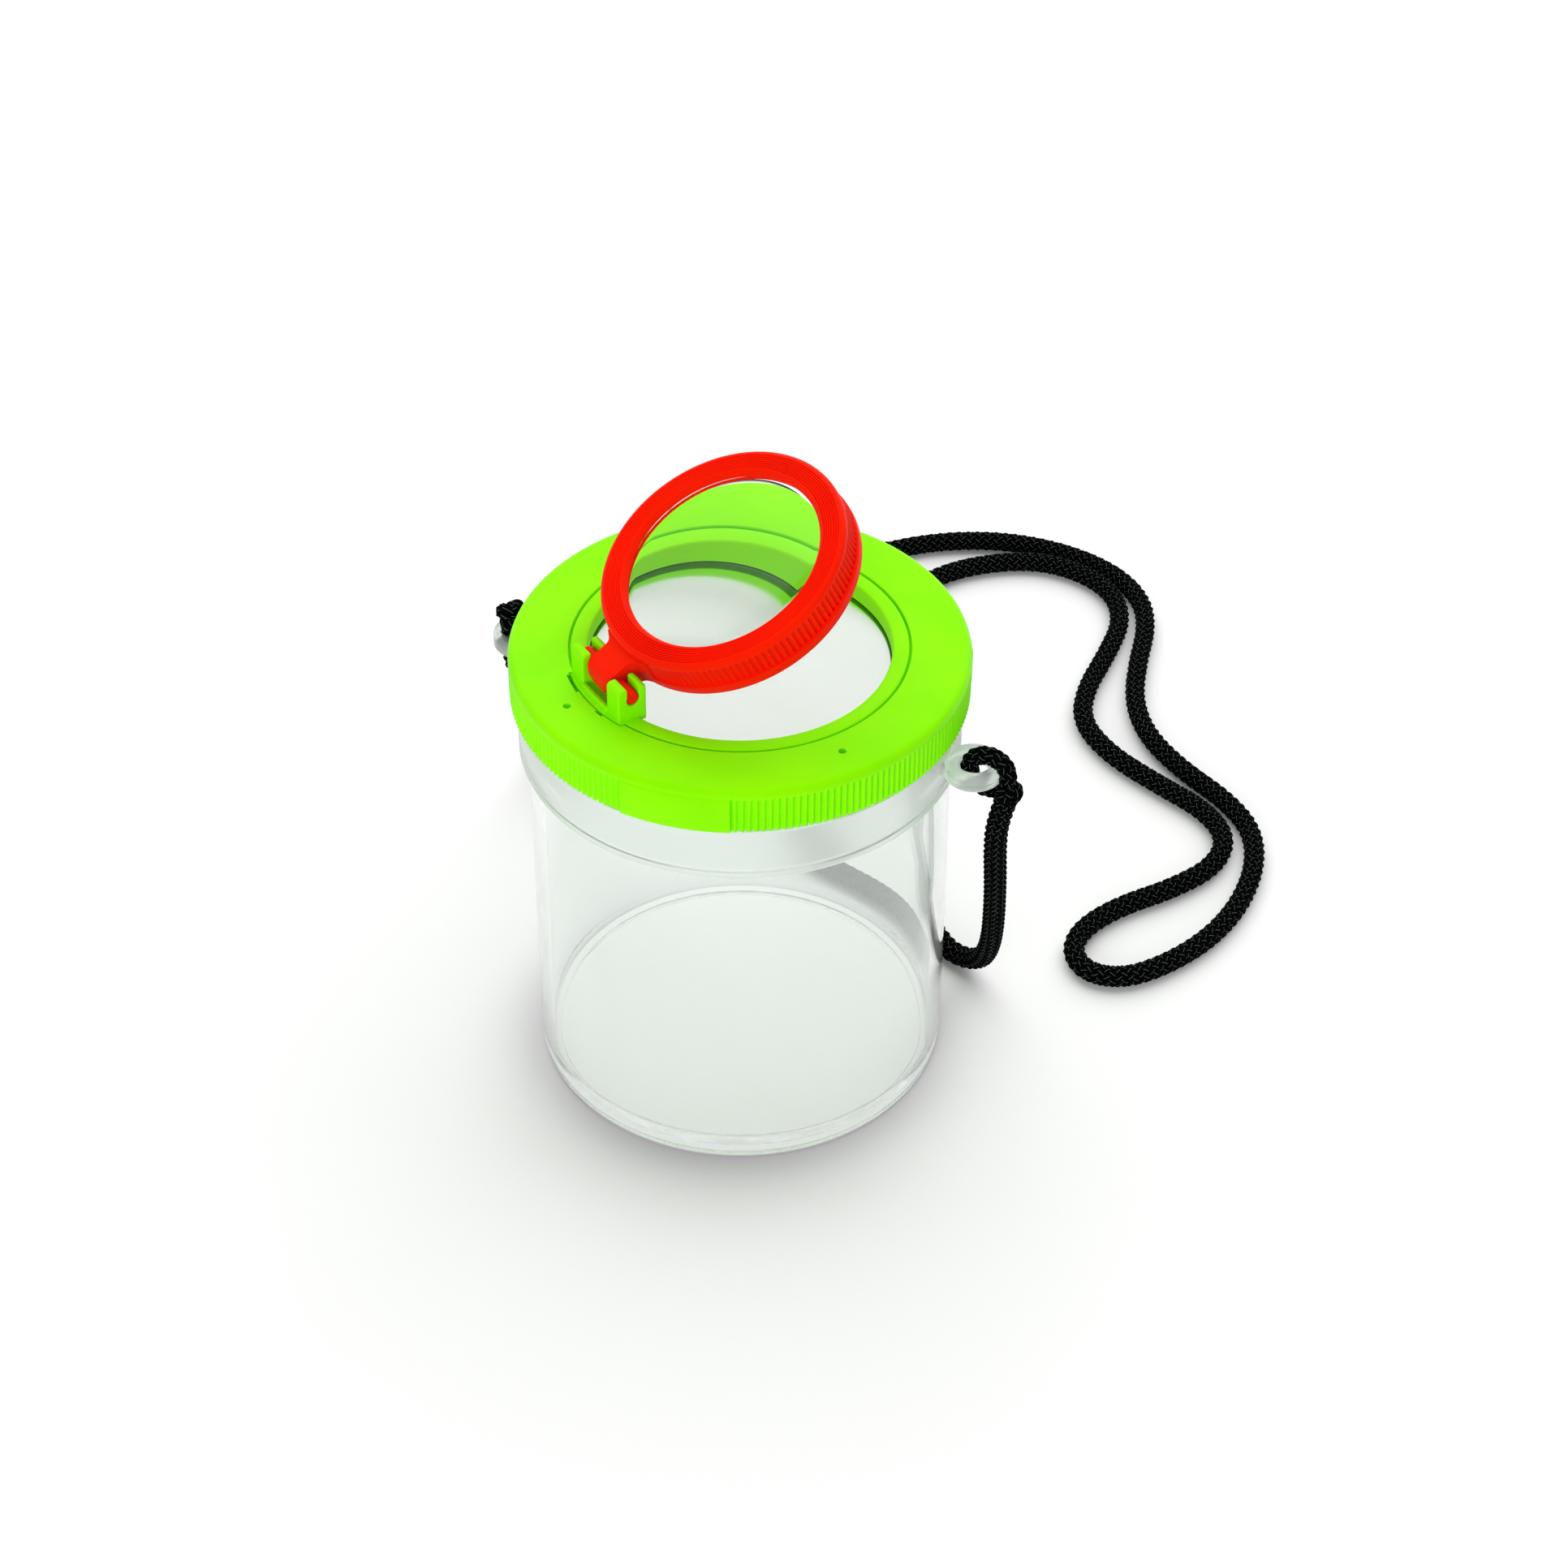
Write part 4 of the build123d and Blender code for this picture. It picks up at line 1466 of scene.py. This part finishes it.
@dataclass
class NeckCord:
    """Black neck cord with the loop on one eyelet and the knots, in millimetres."""

    diameter: float = 4.0
    loop_diameter: float = 3.2
    loop_centre: float = 46.1
    loop_height: float = 74.3
    loop_radius: float = 3.45
    loop_span: float = 312.0
    loop_steps: int = 14
    loop_stretch: float = 1.02
    knot_angle: float = -42.0
    knot_steps: int = 36
    knot_depth: float = 1.4
    loop_knot_reach: float = 5.1
    loop_knot_scale: float = 0.46
    loop_knot_strand: float = 2.5
    stopper_radius: float = 44.3
    stopper_angle: float = 155.2
    stopper_height: float = 79.6
    stopper_scale: float = 0.54
    stopper_strand: float = 2.9
    eyelet_angle: float = -24.0
    lie: float = 2.1
    drop: tuple[Place, ...] = (
        (45.3, -20.6, 70.2), (44.0, -19.2, 63.6), (44.1, -16.6, 55.6), (44.9, -12.0, 44.2),
        (45.5, -7.0, 33.0), (45.9, -1.6, 22.0), (45.8, 4.0, 12.8), (45.0, 8.8, 6.2), (42.8, 12.6, 2.6),
    )
    lay: tuple[Point, ...] = (
        (39.8, 15.2), (37.8, 18.8), (35.0, 25.4), (30.2, 31.4), (23.6, 36.8), (16.6, 41.8),
        (10.8, 47.4), (11.0, 56.2), (16.8, 65.2), (25.2, 73.8), (33.0, 84.4), (36.6, 95.4),
        (35.8, 105.6), (33.2, 114.6), (32.8, 123.2), (37.4, 130.6), (47.6, 137.6), (62.0, 140.4),
        (72.6, 136.4), (79.6, 128.5), (80.8, 118.5), (76.6, 107.0), (71.2, 95.0), (69.6, 84.5),
        (74.5, 74.0), (83.5, 64.5), (92.0, 56.5), (95.6, 48.0), (92.3, 39.5), (83.5, 33.0),
        (73.0, 28.0), (65.5, 22.0), (62.5, 15.4), (65.0, 9.2), (72.0, 7.5), (80.4, 11.4), (89.0, 18.4),
        (95.8, 27.8), (100.3, 39.5), (100.8, 50.4), (96.4, 59.7), (88.9, 68.7), (82.8, 79.4),
        (80.8, 91.0), (82.8, 104.0), (85.8, 116.3), (85.4, 126.5), (79.6, 136.3), (69.0, 143.7),
        (56.3, 147.5), (42.0, 147.0), (28.0, 142.2), (14.5, 140.6), (0.5, 140.8), (-13.0, 138.0),
        (-25.0, 131.0), (-33.5, 120.5), (-38.0, 108.0), (-39.0, 94.5),
    )
    rise: tuple[Place, ...] = (
        (-38.0, 81.0, 3.0), (-37.4, 69.5, 8.6), (-36.8, 58.2, 18.0), (-36.0, 47.2, 30.0),
        (-35.4, 38.2, 41.0), (-35.4, 31.6, 51.2), (-36.8, 26.4, 58.2), (-38.8, 22.2, 63.8),
        (-40.6, 19.4, 69.2), (-40.3, 18.9, 79.4),
    )

    def build(self, finishes: Finishes) -> list[bpy.types.Object]:
        """Args:
            finishes: Finishes of the jar.

        Returns:
            The four pieces.
        """
        effects = finishes.effects
        braid = Braid("braided_neck_cord", self.route(), self.diameter * MM)
        cord = braid.build(effects)
        thin = self.loop_diameter * MM
        loop = Braid("braided_loop", self.loop_route(), thin, strands=7, detail=14).build(effects)
        knots = []
        for name, place, scale, strand in self.knot_places():
            route = self.knot_route(place, scale)
            knot = Braid(name, route, strand * MM, cyclic=True, strands=6, pitch=0.0016, sides=24, detail=8)
            knots.append(knot.build(effects))
        nodes = ("neck_cord", "cord_loop", "loop_knot", "stopper_knot")
        for piece, node in zip((cord, loop, *knots), nodes):
            settle(piece, Body.CUP, (node,), piece.data.materials[0])
        LOG.info("cord length %.4f m", braid.length)
        return [cord, loop, *knots]

    def route(self) -> list[Place]:
        """Route in metres from the loop's knot to the floor, along it and up to the stopper."""
        spots = [*self.drop, *((x, y, self.lie) for x, y in self.lay), *self.rise]
        return [(x * MM, y * MM, z * MM) for x, y, z in spots]

    def beside_eyelet(self, reach: float, height: float, turn: float) -> Place:
        """Point in metres at a radius and height, in the upright plane at an angle."""
        angle = math.radians(turn)
        return (reach * math.cos(angle) * MM, reach * math.sin(angle) * MM, height * MM)

    def loop_route(self) -> list[Place]:
        """Route of the loop round the outer side of the eyelet."""
        start = self.knot_angle + (360 - self.loop_span) / 2
        route = []
        for step in range(self.loop_steps + 1):
            angle = math.radians(start + self.loop_span * step / self.loop_steps)
            reach = self.loop_centre + self.loop_stretch * self.loop_radius * math.cos(angle)
            height = self.loop_height + self.loop_stretch * self.loop_radius * math.sin(angle)
            route.append(self.beside_eyelet(reach, height, self.eyelet_angle))
        return route

    def knot_places(self) -> list[tuple[str, Place, float, float]]:
        """Name, middle, size and strand of each knot."""
        angle = math.radians(self.knot_angle)
        reach = self.loop_centre + self.loop_knot_reach * math.cos(angle)
        height = self.loop_height + self.loop_knot_reach * math.sin(angle)
        loop_place = self.beside_eyelet(reach, height, self.eyelet_angle)
        stopper_place = self.beside_eyelet(self.stopper_radius, self.stopper_height, self.stopper_angle)
        return [
            ("braided_loop_knot", loop_place, self.loop_knot_scale, self.loop_knot_strand),
            ("braided_stopper_knot", stopper_place, self.stopper_scale, self.stopper_strand),
        ]

    def knot_route(self, place: Place, scale: float) -> list[Place]:
        """Route of an overhand knot drawn tight.

        Args:
            place: Middle of the knot in metres.
            scale: Size of the knot in millimetres.

        Returns:
            Points of a closed trefoil.
        """
        route = []
        for step in range(self.knot_steps):
            turn = FULL_TURN * step / self.knot_steps
            bow = Vector((
                math.sin(turn) + 2 * math.sin(2 * turn),
                self.knot_depth * -math.sin(3 * turn),
                math.cos(turn) - 2 * math.cos(2 * turn),
            ))
            route.append(tuple(Vector(place) + bow * scale * MM))
        return route


@dataclass
class Studio:
    """Camera, pale floor and soft light."""

    lens: float = 4496 / 1932 * 36
    camera_place: Place = (0, -0.4953, 0.4687)
    pitch: float = 39.79
    yaw: float = 0.89
    roll: float = 0.43
    floor_size: float = 8.0
    floor_tone: float = 0.9
    floor_lift: float = 0.08
    ambient: float = 0.38
    key_place: Place = (-0.35, -1.2, 0.36)
    key_size: float = 0.8
    key_power: float = 8.0
    back_place: Place = (0.2, 0.9, 1.2)
    back_size: float = 2.4
    back_power: float = 31.5
    aim: Place = (0, 0, 0.04)
    sensor: float = 36.0

    def build(self) -> None:
        """Set up the view, the floor and the light."""
        bpy.context.scene.view_settings.view_transform = "Standard"
        self.place_camera()
        self.lay_floor()
        self.light_world()
        self.hang_lamp("key_light", self.key_place, self.key_size, self.key_power)
        self.hang_lamp("back_light", self.back_place, self.back_size, self.back_power)

    def place_camera(self) -> None:
        """Place the camera at the photograph's viewing angle."""
        pitch, yaw, roll = (math.radians(angle) for angle in (self.pitch, self.yaw, self.roll))
        forward = Vector((
            math.sin(yaw) * math.cos(pitch), math.cos(yaw) * math.cos(pitch), -math.sin(pitch)
        ))
        right = Vector((math.cos(yaw), -math.sin(yaw), 0))
        up = right.cross(forward)
        level = right * math.cos(roll) + up * math.sin(roll)
        upright = up * math.cos(roll) - right * math.sin(roll)
        data = bpy.data.cameras.new("camera")
        data.lens = self.lens
        data.sensor_width = self.sensor
        data.clip_start = 0.01
        camera = bpy.data.objects.new("camera", data)
        camera.matrix_world = Matrix.Translation(self.camera_place) @ Matrix(
            (level, upright, -forward)
        ).transposed().to_4x4()
        bpy.context.scene.collection.objects.link(camera)
        bpy.context.scene.camera = camera

    def lay_floor(self) -> None:
        """Lay the pale floor, which keeps the object's shadow."""
        deselect()
        bpy.ops.mesh.primitive_plane_add(size=self.floor_size)
        floor = bpy.context.object
        floor.name = "floor"
        material, sheet, shader = new_material("pale_floor")
        shader.inputs["Base Color"].default_value = grey(self.floor_tone)
        shader.inputs["Roughness"].default_value = 1
        shader.inputs["Specular IOR Level"].default_value = 0
        shader.inputs["Emission Color"].default_value = (1, 1, 1, 1)
        seen = self.seen_rays(sheet)
        sheet.link(sheet.math("MULTIPLY", seen, self.floor_lift), shader.inputs["Emission Strength"])
        floor.data.materials.append(material)

    def seen_rays(self, sheet: Sheet) -> bpy.types.NodeSocket:
        """One for rays that show the background, and zero for those that light the object."""
        rays = sheet.add("LightPath").outputs
        shown = sheet.math("MAXIMUM", rays["Is Camera Ray"], rays["Is Glossy Ray"])
        return sheet.math("MAXIMUM", shown, rays["Is Transmission Ray"])

    def light_world(self) -> None:
        """Show a white surround and light the object with a plain ambient level."""
        world = bpy.data.worlds.new("studio")
        world.use_nodes = True
        bpy.context.scene.world = world
        sheet = Sheet(world.node_tree)
        surround = world.node_tree.nodes["Background"]
        surround.inputs["Color"].default_value = (1, 1, 1, 1)
        gain = sheet.math("MULTIPLY", self.seen_rays(sheet), 1 - self.ambient)
        sheet.link(sheet.math("ADD", gain, self.ambient), surround.inputs["Strength"])

    def hang_lamp(self, name: str, place: Place, size: float, power: float) -> None:
        """Hang a square softbox that points at the jar.

        Args:
            name: Name of the lamp.
            place: Where it hangs, in metres.
            size: Its side in metres.
            power: Its power in watts.
        """
        data = bpy.data.lights.new(name, "AREA")
        data.shape = "SQUARE"
        data.size = size
        data.energy = power
        lamp = bpy.data.objects.new(name, data)
        lamp.location = place
        beam = Vector(self.aim) - Vector(place)
        lamp.rotation_euler = beam.to_track_quat("-Z", "Y").to_euler()
        lamp.visible_glossy = False
        lamp.visible_transmission = False
        bpy.context.scene.collection.objects.link(lamp)


def main() -> None:
    """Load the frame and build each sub-assembly."""
    logging.basicConfig(level=logging.INFO)
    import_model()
    Studio().build()
    finishes = Finishes()
    pieces = [
        *NeckCord().build(finishes),
        Cup().build(finishes),
        *Lid().build(finishes),
        *Magnifier().build(finishes),
    ]
    LOG.info("%d pieces", len(pieces))


if __name__ == "__main__":
    main()
